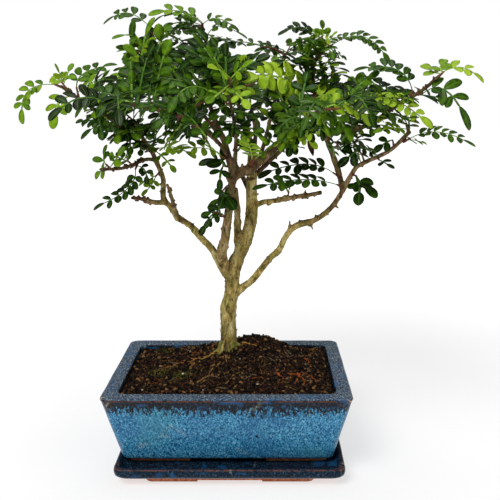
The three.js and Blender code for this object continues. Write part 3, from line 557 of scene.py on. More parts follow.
def bark_paint():
    """Bark: olive and mottled where old, browner and redder on young limbs, with painted shade in its
    hollows.
    """
    paint = Paint("bark", 0.78, 0.25)
    olive, painted_hollow_shade, green, knot = paint.tint()
    long_way = paint.stretched((1, 1, 0.35))
    mottle = paint.noise(150, 5, 0.8, long_way, 0.62)
    old_stops = (0.32, "33290f"), (0.42, "77652f"), (0.52, "b29a52"), (0.62, "d8c380"), (0.74, "f0e4b6")
    middle_stops = (0.32, "25170d"), (0.44, "66492f"), (0.56, "96754f"), (0.7, "cdb390")
    paint.base = paint.ramp(mottle, [(0.3, "1f100b"), (0.5, "46281a"), (0.72, "7c553c")])
    paint.coat(paint.step(olive, 0.15, 0.4), paint.ramp(mottle, middle_stops))
    paint.coat(paint.step(olive, 0.35, 0.75), paint.ramp(mottle, old_stops))
    paint.coat(paint.step(paint.noise(85, 4, 0.7, long_way, 0.6), 0.54, 0.66, 0, 0.2), "4c3c1c")
    algae = paint.step(paint.noise(90, 4, 0.5), 0.42, 0.62)
    paint.coat(paint.times(algae, green), "6c7a2c")
    lichen = paint.step(paint.cells(520, long_way), 0.1, 0.22, 1, 0)
    patches = paint.step(paint.noise(120, 2), 0.45, 0.6, 0, 0.7)
    paint.coat(paint.times(lichen, patches), "cfc6a4")
    grain = paint.noise(900, 4, 0, long_way, 0.7)
    paint.coat(paint.step(grain, 0.35, 0.5, 0.6, 0), "2e2416")
    # Painted shade: darker where the bark is pushed in
    paint.coat(paint.step(painted_hollow_shade, 0.35, 0.05, 0, 0.75), "20160e")
    paint.coat(paint.times(knot, 0.6), "4c3524")
    pores = paint.step(paint.cells(1100), 0.16, 0.3, 0.75, 0)
    patches = paint.step(paint.noise(210, 2), 0.42, 0.6)
    paint.coat(paint.times(pores, patches), "2c2314")
    rough = paint.step(grain, 0.3, 0.7, 0.88, 0.66)
    relief = paint.plus(paint.times(grain, 0.7), mottle)
    return paint.finish(relief, 0.0006, 0.8, rough)


def glaze_paint(name, specular, heights, night_share, pools):
    """Stoneware glaze: flecked blue, dark below the rim with flecks into the blue, painted light on the
    rim's top, clay below.
    """
    band_low, line, clay_top = heights
    paint = Paint(name, 0.22, specular)
    across, deep, height = paint.split(paint.stretched((1, 1, 1), -ORIGIN))
    across, deep = paint.absolute(across), paint.absolute(deep)
    fleck = paint.noise(880, 3, 0.9, paint.stretched((1, 1, 0.7)), 0.7)
    blue_stops = (0.35, "05172e"), (0.43, "154c75"), (0.5, "2f80aa"), (0.57, "52a3ca"), (0.67, "94cde4")
    paint.base = paint.ramp(fleck, blue_stops)
    paint.coat(paint.step(paint.noise(34), 0.35, 0.7, 0, 0.5), "195383")
    paint.coat(paint.step(paint.noise(21, 2, 0.3), 0.56, 0.7, 0, 0.35), "3f8796")
    night_stops = (0.36, "010102"), (0.48, "09070c"), (0.56, "12141f"), (0.66, "34506f")
    night = paint.ramp(fleck, night_stops)
    paint.coat(night_share, night)
    # The dark band runs down in streaks from the rim
    streak = paint.noise(620, 3, 0.2, paint.stretched((1, 1, 0.34)), 0.65)
    run = paint.plus(paint.step(streak, 0.34, 0.66, -0.0055, 0.0055),
                     paint.step(paint.noise(60, 2), 0.3, 0.7, -0.001, 0.001))
    paint.coat(paint.step(paint.plus(height, run), band_low - 0.0025, band_low + 0.0025), night)
    # Painted light: the rim's top face is painted a paler grey-blue, as if lit from above
    top = POT_TOP * MILLIMETRE
    painted_light_rim_stops = (0.35, "080c14"), (0.45, "243245"), (0.56, "5a7188"), (0.67, "b8c6d0")
    paint.coat(paint.step(height, top - 0.0012, top - 0.0004), paint.ramp(fleck, painted_light_rim_stops))
    puddle = paint.step(paint.noise(70, 3, 0.4, paint.stretched((1, 1, 2))), 0.56, 0.68, 0, 0.5)
    paint.coat(paint.times(puddle, paint.step(height, *pools)), "1d5f92")
    # A rust line on the outside, where the glaze meets the foot
    outside = paint.math("MAXIMUM", paint.step(across, 0.09, 0.094), paint.step(deep, 0.061, 0.065))
    rust = paint.step(paint.absolute(paint.minus(height, line)), 0.0001, 0.0007, 1, 0)
    rust = paint.times(rust, paint.step(paint.noise(260), 0.38, 0.55, 0.1, 0.85))
    paint.coat(paint.times(rust, outside), "6f4436")
    pit = paint.step(paint.cells(46), 0.045, 0.06, 1, 0)
    pit = paint.times(pit, paint.step(paint.noise(28, 1), 0.5, 0.55))
    paint.coat(pit, "07070a")
    chalk = paint.step(paint.noise(46, 4, 0.8), 0.64, 0.72)
    chalk = paint.times(chalk, paint.step(fleck, 0.45, 0.6))
    paint.coat(paint.times(chalk, 0.5), "b9bfae")
    # Chips on the upright corners
    chip = paint.times(paint.step(across, 0.088, 0.097), paint.step(deep, 0.06, 0.069))
    chip = paint.times(chip, paint.step(height, band_low - 0.002, line))
    chip = paint.times(chip, paint.step(paint.noise(190, 3, 1.5), 0.56, 0.6, 0, 0.8))
    paint.coat(chip, "b8a58a")
    clay = paint.ramp(paint.noise(420, 4), [(0.3, "93503a"), (0.5, "bb7253"), (0.72, "d99a7b")])
    edge = paint.plus(height, paint.step(paint.noise(70, 2), 0.3, 0.7, -0.0005, 0.0005))
    bare = paint.step(edge, clay_top - 0.0002, clay_top + 0.0003, 1, 0)
    paint.coat(bare, clay)
    rough = paint.step(fleck, 0.3, 0.75, 0.18, 0.34)
    rough = paint.mix(bare, rough, (0.85, 0.85, 0.85, 1))
    relief = paint.minus(paint.times(fleck, 0.6), paint.times(pit, 1.5))
    return paint.finish(relief, 0.0004, 0.6, rough)


def soil_paint():
    """Potting soil: dark brown, with black and tan crumbs and a green film where moss starts."""
    paint = Paint("soil", 0.95, 0.15)
    tone, moss = paint.tint()[:2]
    grain = paint.noise(700, 5, 0.4, None, 0.7)
    stops = (0.39, "010101"), (0.48, "100904"), (0.58, "38231a"), (0.69, "8a6444")
    paint.base = paint.ramp(grain, stops)
    paint.coat(paint.step(tone, 0.58, 1, 0, 0.9), "9c7448")
    paint.coat(paint.step(tone, 0.56, 0.15, 0, 0.95), "030201")
    film = paint.times(moss, paint.step(paint.noise(260, 4), 0.4, 0.62))
    paint.coat(film, "3c4212")
    return paint.finish(grain, 0.0008, 1, paint.step(grain, 0.3, 0.7, 0.98, 0.85))


def grain_paint():
    """Pale mineral grains, with brown specks of soil."""
    paint = Paint("grain", 0.8, 0.3)
    paint.base = paint.mix(paint.step(paint.noise(700), 0.48, 0.62), "c9c3b2", "6d5a44")
    return paint.finish(paint.noise(1400), 0.0002, 0.7)


def withered_paint():
    """A dead leaf: dark brown, blotched and dry."""
    paint = Paint("withered", 0.85, 0.2)
    stops = (0.32, "120a06"), (0.5, "33200f"), (0.7, "6b4a26")
    paint.base = paint.ramp(paint.noise(330, 4, 0.6), stops)
    return paint.finish(paint.noise(700, 4), 0.0006, 0.9)


def plastic_paint():
    paint = Paint("screen_plastic", 0.55, 0.4)
    dust = paint.step(paint.noise(300), 0.4, 0.7, 0, 0.5)
    paint.base = paint.mix(dust, "17181a", "2b2d30")
    rough = paint.step(paint.noise(500, 2), 0.3, 0.7, 0.45, 0.65)
    return paint.finish(paint.noise(1500, 2), 0.0001, 0.5, rough)


LEAF_SHADES = {
    "dark": ("061401", "102903", "214406", "43660e"),
    "mid": ("152e02", "305605", "537b09", "7c9c14"),
    "light": ("395e04", "61880a", "82a418", "a1bf32"),
}
LEAF_GLOSS = {"dark": 0.32, "mid": 0.38, "light": 0.42}
SHADES = list(LEAF_SHADES)
leafy = [leaf_paint(f"leaf_{shade}", LEAF_SHADES[shade], LEAF_GLOSS[shade]) for shade in SHADES]
leafy += [rachis_paint(), twig_paint()]
DARK, MID, LIGHT, STALK, TWIG = range(5)
bark = bark_paint()
pot_glaze = glaze_paint("pot_glaze", 0.22, (0.0595, 0.0697, 0.0143), 0, (0.06, 0.066))
saucer_glaze = glaze_paint("saucer_glaze", 0.1, (1, 0.0144, 0.0052), 0.93, (0.0142, 0.0118))
soil_mix, fibre, moss_green, screen = soil_paint(), fibre_paint(), moss_paint(), plastic_paint()
grain_white, withered = grain_paint(), withered_paint()


# Leaflets: stations from the base to the tip, with the half width of the outline at each
LEAFLET_THICKNESS = 0.28
FINE_LEAFLET = (
    ((0, 0.1), (0.1, 0.46), (0.28, 0.84), (0.5, 1), (0.7, 0.97), (0.86, 0.74), (0.96, 0.4)),
    (-1, -0.5, 0, 0.5, 1),
)
PLAIN_LEAFLET = (((0, 0.1), (0.14, 0.58), (0.42, 0.98), (0.7, 0.97), (0.9, 0.62)), (-1, 0, 1))


def leaflet_template(stations, across):
    """A leaflet's grid: place along, place across, half width there, and 1 on the underside."""
    columns = len(across)
    grid = [(u, v, w, 0) for u, w in stations for v in across]
    tip = len(grid)
    grid.append((1, 0, 0, 0))
    under = {}
    for row, (u, w) in enumerate(stations):
        for column in range(1, columns - 1):
            under[row, column] = len(grid)
            grid.append((u, across[column], w, 1))
    top = np.arange(tip).reshape(-1, columns).tolist()
    low = [[under.get((row, column), corner) for column, corner in enumerate(corners)]
           for row, corners in enumerate(top)]
    faces = [[*top[0], *reversed(low[0][1:-1])]]
    for column in range(columns - 1):
        for upper, lower, next_upper, next_lower in zip(top, low, top[1:], low[1:]):
            a, b = upper[column : column + 2]
            d, c = next_upper[column : column + 2]
            faces.append([d, c, b, a])
            a, b = lower[column : column + 2]
            d, c = next_lower[column : column + 2]
            faces.append([a, b, c, d])
        faces.append([tip, top[-1][column + 1], top[-1][column]])
        faces.append([low[-1][column], low[-1][column + 1], tip])
    return np.array(grid, float), faces


FINE, PLAIN = leaflet_template(*FINE_LEAFLET), leaflet_template(*PLAIN_LEAFLET)


def add_leaflet(shell, start, ahead, up, length, width, tone, draw, look):
    """One thin leaflet, folded a little along its midrib, with its tip bent down."""
    paint, (grid, faces) = look
    u, v, half, under = grid.T
    up = unit(up - ahead * (up @ ahead))
    across = np.cross(ahead, up)
    roll = math.radians(draw.uniform(-14, 14))
    cosine, sine = math.cos(roll), math.sin(roll)
    across, up = across * cosine + up * sine, up * cosine - across * sine
    fold = draw.uniform(0.1, 0.3)
    droop = draw.uniform(0.02, 0.2)
    side = v * half * width / 2
    rise = fold * np.abs(side) - droop * length * u**2 - LEAFLET_THICKNESS * under * (1 - v**2)
    points = start + np.outer(u * length, ahead) + np.outer(side, across) + np.outer(rise, up)
    tints = np.column_stack([np.full(len(u), tone), under, np.abs(v), u])
    shell.add(points, faces, tints, paint)


def leaf_curve(base, middle, tip, count):
    """Points and directions along a leaf's rib, which passes through its middle point."""
    control = 2 * middle - (base + tip) / 2
    t = np.linspace(0, 1, count)[:, None]
    points = (1 - t) ** 2 * base + 2 * t * (1 - t) * control + t**2 * tip
    return points, units((1 - t) * (control - base) + t * (tip - control))


RIB_POINTS, STALK_STATIONS = 33, 9
PETIOLE_SHARE, LEAFLET_PITCH = 0.13, 7.3
# A side leaflet's reach as a share of the leaf's length, and its limits
REACH_SHARE, LEAST_REACH, MOST_REACH = 0.21, 7, 11
END_LEAFLET_REACH, LEAST_END_SHARE = 1.18, 0.55
STALK_WIDTH, WING_WIDTH = 0.5, 0.78
LEAN_LINE, LEAN_FORWARD, LEAN_BACK = 33, 0.9, 0.2
LEAN_STEPS = (0.65, 1, 1.35)


def leaf_sky(base, lean_step):
    """The way a leaf's upper face looks: forwards on the crown's front, and back behind it."""
    lean = -LEAN_FORWARD if base[1] < LEAN_LINE else LEAN_BACK
    return unit(np.array([0, lean * lean_step, 1]))


def add_leaf(shell, base, middle, tip, index, draw, paint, form, template=FINE):
    """One compound leaf: a winged stalk, pairs of leaflets and one at the tip."""
    size, breadth, *lean = form
    look = paint, template
    tone = draw.uniform(0.15, 0.85)
    base, middle, tip = (np.asarray(point, float) for point in (base, middle, tip))
    points, along = leaf_curve(base, middle, tip, RIB_POINTS)
    length = float(np.linalg.norm(np.diff(points, axis=0), axis=1).sum())
    heading = tip - base
    heading[2] = 0
    if np.linalg.norm(heading) < 0.25 * length:
        heading = np.array([tip[0], tip[1] + length, 0])
    sky = leaf_sky(base, lean[0] if lean else LEAN_STEPS[index % len(LEAN_STEPS)])
    across = np.cross(along, sky) + 0.25 * np.cross(unit(heading), sky)
    across = units(across - along * (across * along).sum(1)[:, None])
    up = np.cross(across, along)
    reach = float(np.clip(REACH_SHARE * length, LEAST_REACH, MOST_REACH)) * size
    end_length = reach * END_LEAFLET_REACH
    end_share = max(LEAST_END_SHARE, 1 - end_length / length)
    pairs = max(1, round((end_share - PETIOLE_SHARE) * length / (LEAFLET_PITCH * size)))
    pitch = (end_share - PETIOLE_SHARE) / pairs

    def at(share):
        place_on = share * (RIB_POINTS - 1)
        low = min(int(place_on), RIB_POINTS - 2)
        part = place_on - low
        return (row[low] * (1 - part) + row[low + 1] * part for row in (points, along, across, up))

    for pair in range(pairs):
        swell = reach * (0.78 + 0.22 * math.sin(math.pi * (pair + 0.6) / pairs))
        for side in (-1, 1):
            share = PETIOLE_SHARE + (pair + 0.35 + draw.uniform(-0.08, 0.08)) * pitch
            place_at, ahead, sideways, above = at(share)
            angle = math.radians(draw.uniform(56, 72))
            lift = draw.uniform(-0.06, 0.24)
            outwards = side * sideways * math.sin(angle)
            direction = unit(ahead * math.cos(angle) + outwards + above * lift)
            leaflet = swell * draw.uniform(0.98, 1.14)
            width = leaflet * breadth * draw.uniform(0.9, 1.1)
            own_tone = tone + draw.uniform(-0.2, 0.2)
            start = place_at + sideways * side * 0.35
            add_leaflet(shell, start, direction, above, leaflet, width, own_tone, draw, look)
    place_at, ahead, sideways, above = at(end_share)
    add_leaflet(shell, place_at, ahead, above, end_length, end_length * breadth, tone, draw, look)
    rings = []
    for station in np.linspace(0, end_share, STALK_STATIONS):
        place_at, ahead, sideways, above = at(station)
        wing = sideways * (STALK_WIDTH if station < PETIOLE_SHARE else WING_WIDTH) * size
        thick = above * (0.42 - 0.2 * station)
        rings.append([place_at + wing, place_at + thick, place_at - wing, place_at - thick])
    skin(shell, rings, (0.3 + 0.35 * paint, 0, 0, 0), STALK)


def add_twig(shell, route, start_radius, end_radius, tone):
    fine = smooth_route(route, 2.5)
    radii = np.linspace(start_radius, end_radius, len(fine))
    radii = radii * (1 + 0.12 * np.sin(np.arange(len(fine)) * 2.1))
    tube(shell, fine, radii, 6, (tone, 0, 0, 0), TWIG)


def along_route(route, share):
    points = np.asarray(route, float)
    steps = np.linalg.norm(np.diff(points, axis=0), axis=1)
    target = share * steps.sum()
    for start, end, step in zip(points, points[1:], steps):
        if target <= step:
            return start + (end - start) * target / step
        target -= step
    return points[-1]


WORD = 2**32


def random_source(seed):
    """The seeded draws that place the fuller sprays' leaves in the solid model."""
    state = seed

    def draw():
        nonlocal state
        state = (state + 0x6D2B79F5) % WORD
        mixed = (state ^ (state >> 15)) * (1 | state) % WORD
        mixed = (mixed + (mixed ^ (mixed >> 7)) * (61 | mixed)) % WORD ^ mixed
        return (mixed ^ (mixed >> 14)) / WORD

    return draw


def full_spray_leaves(index, start, end):
    draw = random_source(100 + index)
    start, end = np.array(start, float), np.array(end, float)
    heading = math.atan2(end[1] - start[1], end[0] - start[0])
    leaves = []
    for leaf, side in enumerate((-1, 1, 0)):
        turn = heading + math.radians(side * 58 + (draw() - 0.5) * 20)
        length = 46 * (0.85 + 0.3 * draw())
        lift = 7 * (0.6 + 0.8 * draw())
        drop = 12 * (0.6 + 0.8 * draw())
        share = (leaf + 1) / 3
        base = start + (end - start) * share
        forward = np.array([math.cos(turn), math.sin(turn), 0])
        middle = base + forward * length * 0.5 + (0, 0, lift)
        tip = base + forward * length * 0.97 - (0, 0, drop)
        leaves.append((share, tuple(middle), tuple(tip)))
    return leaves


# Sprays with leaflets of their own: their size, their breadth, and how far they lean
LEAF_FORMS = read_forms("""
crown_front_big 1.45 0.8 1.7, right_dark_trio 1.9 0.5, left_edge_dark 1.05 0.64,
far_right_dark 1.5 0.44, front_rosette 1.2 0.64 1.3, right_inner 1.15 0.7, right_hanging 1.6 0.66,
hanging_left 0.85 0.66, top_left_front 1.45 0.5, left_tip_dark 1.25 0.62,
stem_left_leaf_low 1.3 0.5, stem_left_leaf_top 1.25 0.5, right_peak_front 1.35 0.7,
back_peak 1.2 0.6, low_twig_left 1.15 0.66, peak_left 1.1 0.58 -3, peak_right 1.1 0.58 -2,
far_left_drop 1.5 0.52 1.3, far_left_arch 0.95 0.52, front_right_end 0.85 0.52 0.6,
right_peak_arch 0.8 0.6, far_right_light 1.25 0.7, right_low_arch 0.85 0.58 0.6
""")
# Leaves whose shade isn't that of their spray, by the leaf's number
ODD_LEAVES = {
    "front_right_end": {0: "dark", 2: "dark"}, "far_left_arch": {0: "mid"},
    "front_rosette": {4: "dark"}, "top_left_arch": {2: "dark"}, "peak_left": {0: "mid", 1: "mid"},
}
PLAIN_FORM = (1, 0.58)


def add_spray(name, shade, route, leaves, seed):
    draw = random.Random(seed)
    shell = Shell()
    add_twig(shell, route, 1.05, 0.75, 0.35 + 0.12 * SHADES.index(shade))
    for index, (at, middle, tip) in enumerate(leaves):
        base = along_route(route, min(at, 0.97))
        paint = SHADES.index(ODD_LEAVES.get(name, {}).get(index, shade))
        add_leaf(shell, base, middle, tip, index, draw, paint, LEAF_FORMS.get(name, PLAIN_FORM))
    place_shell(f"leaves_{name}", shell, leafy, f"leaf_{shade}", (f"spray_{name}",))


all_sprays = [*SPRAYS]
for seed, (name, shade, route, _) in enumerate(FULL_SPRAYS):
    all_sprays.append((name, shade, route, full_spray_leaves(seed, *route)))
for seed, (name, shade, route, leaves) in enumerate(all_sprays):
    add_spray(name, shade, route, leaves, 500 + seed)


def nearest_among(points):
    tree = kdtree.KDTree(len(points))
    for index, point in enumerate(points):
        tree.insert(point, index)
    tree.balance()
    return tree


LEAFY_LIMBS = (
    "leftStem", "knottedBranch", "leftLimb", "rightLimb", "rightRiser", "rightReach",
    "farLeftTwig", "crownStem", "frontStem", "backRightStem", "midLeftStem", "lowFrontLeftStem",
    "frontRightStem", "backLeftStem", "backStem", "farRightBackStem", "trunk",
)
CROWN_LOW = 232
limb_points = [(point, name) for name in LEAFY_LIMBS for point in smooth_route(LIMBS[name][0], 4)
               if point[2] > CROWN_LOW]
twig_points = [point for _, _, route, _ in all_sprays for point in smooth_route(route, 4)]
limb_tree = nearest_among([point for point, _ in limb_points])
stem_tree = nearest_among([*(point for point, _ in limb_points), *twig_points])

# More leaves that the photograph shows: where they are, and then the base, the middle and the tip
# in its frame, their depth, the shade and the form
SEEN_LEAVES = read_seen_leaves("""
top_left
    203 24, 220 19, 242 35: 36 mid 1.1 0.55 -3; 262 47, 243 42, 224 46: 45 dark 1.2 0.5 -3;
    143 58, 145 38, 156 18: 12 mid 1.9 0.4 1.2; 136 54, 131 41, 138 27: 14 mid 1.9 0.36 1.2;
    202 22, 176 10.5, 149 18: 42 mid 1.2 0.55 -3; 146 64, 138 56, 129 50: 4 mid 1.6 0.7 1.2;
    150 62, 158 50, 170 44: 8 dark 1.5 0.5 1; 150 52, 176 48, 206 56: 18 dark 1.3 0.45 0.6;
    152 44, 172 40, 192 42: 25 dark 1.1 0.4 0.4; 150 40, 160 30, 173 33: 30 mid 1.2 0.7 1;
    198 28, 182 22, 162 30: 38 mid 1.2 0.62 -4
left_middle
    170 58, 163 64, 157 74: 5 dark 1.7 0.85 1.3; 183 60, 178 68, 173 79: 5 dark 1.7 0.85 1.3;
    140 62, 128 66, 112 72: 15 mid 1.1 0.5; 150 75, 135 72, 117 82: 2 mid 1 0.5;
    165 92, 180 84, 198 92: -10 dark 1.2 0.6; 150 96, 166 90, 182 98: -14 dark 1.2 0.6;
    195 108, 180 103, 162 110: -40 dark 1.2 0.6; 212 118, 196 112, 178 118: -45 dark 1.2 0.6;
    178 118, 164 113, 148 121: -50 dark 1.2 0.6; 205 130, 190 124, 172 131: -30 dark 1.1 0.6
left_front
    207 138, 197 126, 186 118: -80 mid 1.2 0.6 1; 198 126, 186 114, 171 106: -82 dark 1.3 0.6 1;
    184 116, 170 108, 153 103: -82 dark 1.3 0.6 1; 166 110, 152 105, 136 110: -84 dark 1.2 0.6 1;
    210 146, 200 138, 188 136: -72 mid 1.1 0.6 1; 192 124, 184 128, 177 140: -82 dark 1.2 0.6 1;
    172 113, 164 117, 156 130: -84 dark 1.2 0.6 1
rosette
    224 98, 212 93, 200 97: -55 light 1.3 0.7 1.2; 232 82, 240 71, 239 62: -55 light 1.4 0.8 1.6;
    226 82, 219 79, 207 73: -60 light 1.8 0.6 1.5; 226 92, 240 88, 254 96: -60 light 1.2 0.6 1.2;
    231 118, 221 116, 208 122: -55 mid 1.1 0.6 1; 232 112, 244 112, 258 120: -55 mid 1.1 0.6 1
top_right
    316 36, 299 28, 284 33: 10 dark 1 0.5; 322 40, 311 33, 300 37: 12 mid 1 0.5;
    313 60, 304 52, 300 42: 6 mid 1.4 0.6 1; 316 66, 308 61, 299 65: 6 mid 1.3 0.7 1;
    316 55, 302 45, 287 47: 14 mid 1.1 0.5; 326 44, 338 37, 352 44: 14 mid 1.1 0.5;
    328 48, 317 45, 307 50: 8 mid 1.3 0.6 0.8; 282 58, 266 45, 248 48: 50 dark 1.1 0.5 -3;
    284 60, 272 56, 256 58: 46 mid 1.2 0.7 -3
right_middle
    314 62, 326 56, 341 60: 14 dark 1 0.5 0.4; 313 68, 328 62, 346 66: 10 dark 1.1 0.5 0.4;
    314 74, 330 67, 351 74: 8 dark 1.2 0.5 0.5; 314 80, 333 73, 351 80: 6 dark 1.1 0.5 0.5;
    318 90, 328 83, 335 79: -4 mid 1.2 0.7 1.2; 320 92, 333 86, 354 92: -2 dark 1.2 0.5 0.5;
    316 99, 324 95, 334 94: -12 light 1.6 0.7 1.3; 356 88, 366 80, 374 76: -8 mid 1.4 0.8 1;
    324 100, 340 95, 356 101: -6 dark 1.1 0.5 0.5; 322 108, 336 104, 350 110: -14 mid 1.1 0.6
stem_left
    224 216, 213 212, 202 219: -16 dark 1.1 0.6 1; 214 213, 206 223, 202 235: -18 dark 1.1 0.6 1.2;
    229 190, 220 198, 207 209: -16 dark 1.5 0.5 1.2;
    222 192, 226 196, 231 203: -18 dark 1.6 0.75 1.2;
    226 167, 218 160, 210 167: -26 dark 1.9 0.55 1.2
right_low
    335 143, 352 134, 372 138: -12 dark 1.1 0.5 0.4;
    338 150, 350 145, 363 152: -14 dark 1.2 0.6 0.8; 372 133, 384 128, 399 134: -18 mid 1.1 0.5 0.5;
    358 150, 350 156, 341 164: -16 dark 1.5 0.6 1; 330 140, 338 132, 350 130: -8 dark 1.1 0.5 0.6;
    392 140, 384 144, 374 152: -24 dark 1.2 0.6 0.8
centre
    285 100, 270 93, 253 98: 2 dark 1.3 0.5 0.7; 284 106, 268 102, 250 109: 0 dark 1.3 0.5 0.7;
    298 125, 285 117, 268 114: -6 mid 1.5 0.8 1.2; 300 112, 290 107, 280 112: -8 dark 1.4 0.8 1.2;
    300 86, 284 84, 268 88: 12 dark 1.3 0.6; 276 122, 262 117, 248 123: -20 dark 1.2 0.6;
    254 84, 243 92, 238 104: -20 dark 1.2 0.6
""")


def place_leaves(kind, shells):
    for where, shell in shells.items():
        place_shell(f"{kind}_{where}", shell, leafy, "leaf_dark")


def add_seen_leaves():
    shells = {}
    for index, (where, *spots, depth, shade, form) in enumerate(SEEN_LEAVES):
        draw = random.Random(700 + index)
        shell = shells.setdefault(where, Shell())
        base, middle, tip = (np.array(from_photo(*spot, depth)) for spot in spots)
        tip[1] -= 5
        stem = np.array(stem_tree.find(base)[0])
        if math.dist(stem, base) > 2.5:
            add_twig(shell, (stem, (stem + base) / 2 + (0, 0, 2), base), 0.9, 0.7, 0.5)
        add_leaf(shell, base, middle, tip, index, draw, SHADES.index(shade), form)
    place_leaves("seen_leaves", shells)


add_seen_leaves()

# Inner leaves fill the crown between the sprays. Their tips lie inside this outline of the
# photograph's frame, near a limb and near a spray.
CROWN_OUTLINE = read_points("""
98 104, 112 84, 122 76, 124 52, 140 36, 160 30, 200 32, 216 40, 240 54, 262 58, 288 58, 306 44,
330 42, 336 56, 345 72, 380 78, 405 92, 420 104, 412 114, 392 126, 368 146, 345 152, 318 152,
290 162, 262 150, 240 146, 218 152, 196 142, 178 146, 165 158, 132 160, 112 152, 104 132, 94 118
""")
INNER_COUNT, INNER_TRIES, INNER_SPACING = 330, 16000, 6.5
INNER_NEAREST, INNER_FARTHEST, INNER_FROM_SPRAY = 18, 48, 24
INNER_PAINTS = (DARK,) * 5 + (MID,) * 3 + (LIGHT,)


def inside(point, outline):
    """True if a point of the photograph's frame lies inside the outline."""
    x, y = point
    odd = False
    for (x1, y1), (x2, y2) in zip(outline, outline[1:] + outline[:1]):
        if (y1 > y) != (y2 > y) and x < (x2 - x1) * (y - y1) / (y2 - y1) + x1:
            odd = not odd
    return odd


def inner_leaves():
    """Leaf bases, tips and the limb of each."""
    draw = random.Random(31)
    spray_tree = nearest_among(
        [point for *_, leaves in all_sprays for _, *ends in leaves for point in ends])
    found = []
    for _ in range(INNER_TRIES):
        x, y, depth = draw.uniform(70, 425), draw.uniform(20, 165), draw.uniform(-75, 90)
        tip = from_photo(x, y, depth)
        if not inside((x, y), CROWN_OUTLINE) or spray_tree.find(tip)[2] > INNER_FROM_SPRAY:
            continue
        _, nearest, far = limb_tree.find(tip)
        crowded = any(math.dist((x, y), other) < INNER_SPACING for other, *_ in found)
        if crowded or not INNER_NEAREST < far < INNER_FARTHEST:
            continue
        base, limb = limb_points[nearest]
        found.append(((x, y), base, np.array(tip), limb))
        if len(found) == INNER_COUNT:
            break
    return found


def add_inner_leaves():
    draw = random.Random(32)
    shells = {}
    for index, (_, base, tip, limb) in enumerate(inner_leaves()):
        shell = shells.setdefault(limb, Shell())
        rise = np.array([0, 0, np.linalg.norm(tip - base) * draw.uniform(0.06, 0.24)])
        form = (draw.uniform(1, 1.3), draw.uniform(0.55, 0.66))
        paint = draw.choice(INNER_PAINTS)
        add_leaf(shell, base, (base + tip) / 2 + rise, tip, index, draw, paint, form, PLAIN)
    place_leaves("inner_leaves", shells)


add_inner_leaves()


# Wood: smooth tubes with knots, melted together and then roughened
ROOT_RADIUS, ROOT_TIP_RADIUS = 2.5, 1.3
# Thorns: the start, the end and the radius
THORNS = read_points("""
50 -7 193 51 -9 203 1.2, -30 18 189 -33 15 194 1.3, 66 -11 202 70 -14 196 1.1,
19 3 148 22 -2 151 1.4, 3 4 212 -2 0 214 1.2, -58 25 228 -63 22 230 1.1,
86 -15 218 90 -18 214 1.1, 20 2 222 25 -2 224 1.3, 14 3 183 18 -2 182 1.5,
30 -9 254 31 -12 260 1.6, 23 -11 249 24 -14 256 1.5, 12 -15 244 12 -18 250 1.6,
62 -6 223 64 -8 228 1, -73 16 216 -74 14 222 0.9
""")
# Places where the bark is rough and brown, with their reach
KNOTS = read_points("""
-4 5 104 3.2, 12 4 172 5, -4 8 147 6, 18 3 198 4.5, -46 20 201 5, 3 -18 236 9, 20 -14 247 8,
38 -10 262 6, -74 16 217 6, 46 -4 219 5
""")
# How olive each limb is at its start and its end: old bark is olive, and young bark red-brown
OLIVE = {
    "trunk": (1, 0.85), "deadStem": (0.7, 0.45), "leftStem": (0.6, 0.2), "knottedBranch": (0.4, 0.2),
    "leftLimb": (1, 0.3), "leftStub": (0.6, 0.2), "leftSpur": (0.45, 0.3), "rightLimb": (0.9, 0.2),
    "rightRiser": (0.35, 0.15), "rightStub": (0.8, 0.35), "roots": (0.9, 0.6),
}
YOUNG_OLIVE = (0.2, 0.1)
WARTS_PER_LIMB, WART_RADIUS = 20, 0.95
LIMB_SIDES, ROOT_SIDES, THORN_SIDES, WART_SIDES = 18, 12, 10, 8
TRUNK_SWELLING, LIMB_SWELLING = 0.09, 0.2
# The trunk widens from this height down to the ground
FLARE_TOP, FLARE_HEIGHT, FLARE = 96, 14, 0.16
VOXEL = 0.8


def add_limb(shell, name, limb, draw):
    """A limb with its swellings and warts: the points of its axis, and its warts."""
    route, start_radius, end_radius = limb
    fine = smooth_route(route, 2)
    share = np.linspace(0, 1, len(fine))
    radii = start_radius + (end_radius - start_radius) * share
    swelling = TRUNK_SWELLING if name == "trunk" else LIMB_SWELLING
    for _ in range(len(fine) // 7):
        at, swell = draw.randrange(len(fine)), draw.uniform(0.03, swelling)
        radii = radii * (1 + swell * np.exp(-(((np.arange(len(fine)) - at) / 1.2) ** 2)))
    if name == "trunk":
        low = np.clip((FLARE_TOP - fine[:, 2]) / FLARE_HEIGHT, 0, 1)
        radii = radii * (1 + FLARE * low**2)
    tube(shell, fine, radii, LIMB_SIDES)
    warts = []
    for _ in range(WARTS_PER_LIMB):
        at = draw.randrange(len(fine) // 5, len(fine) - 1)
        turn = draw.uniform(0, math.tau)
        ahead = unit(fine[at + 1] - fine[at - 1])
        out = unit(np.cross(ahead, (math.cos(turn), math.sin(turn), 0.3)))
        foot = fine[at] + out * radii[at] * 0.9
        size = WART_RADIUS * draw.uniform(0.7, 1.3)
        route = [foot, foot + out * size, foot + out * size * 1.6]
        tube(shell, route, [size, size * 0.9, size * 0.5], WART_SIDES)
        warts.append(foot + out * size)
    first, last = OLIVE.get(name, YOUNG_OLIVE)
    return np.column_stack([fine, radii, first + (last - first) * share]), warts


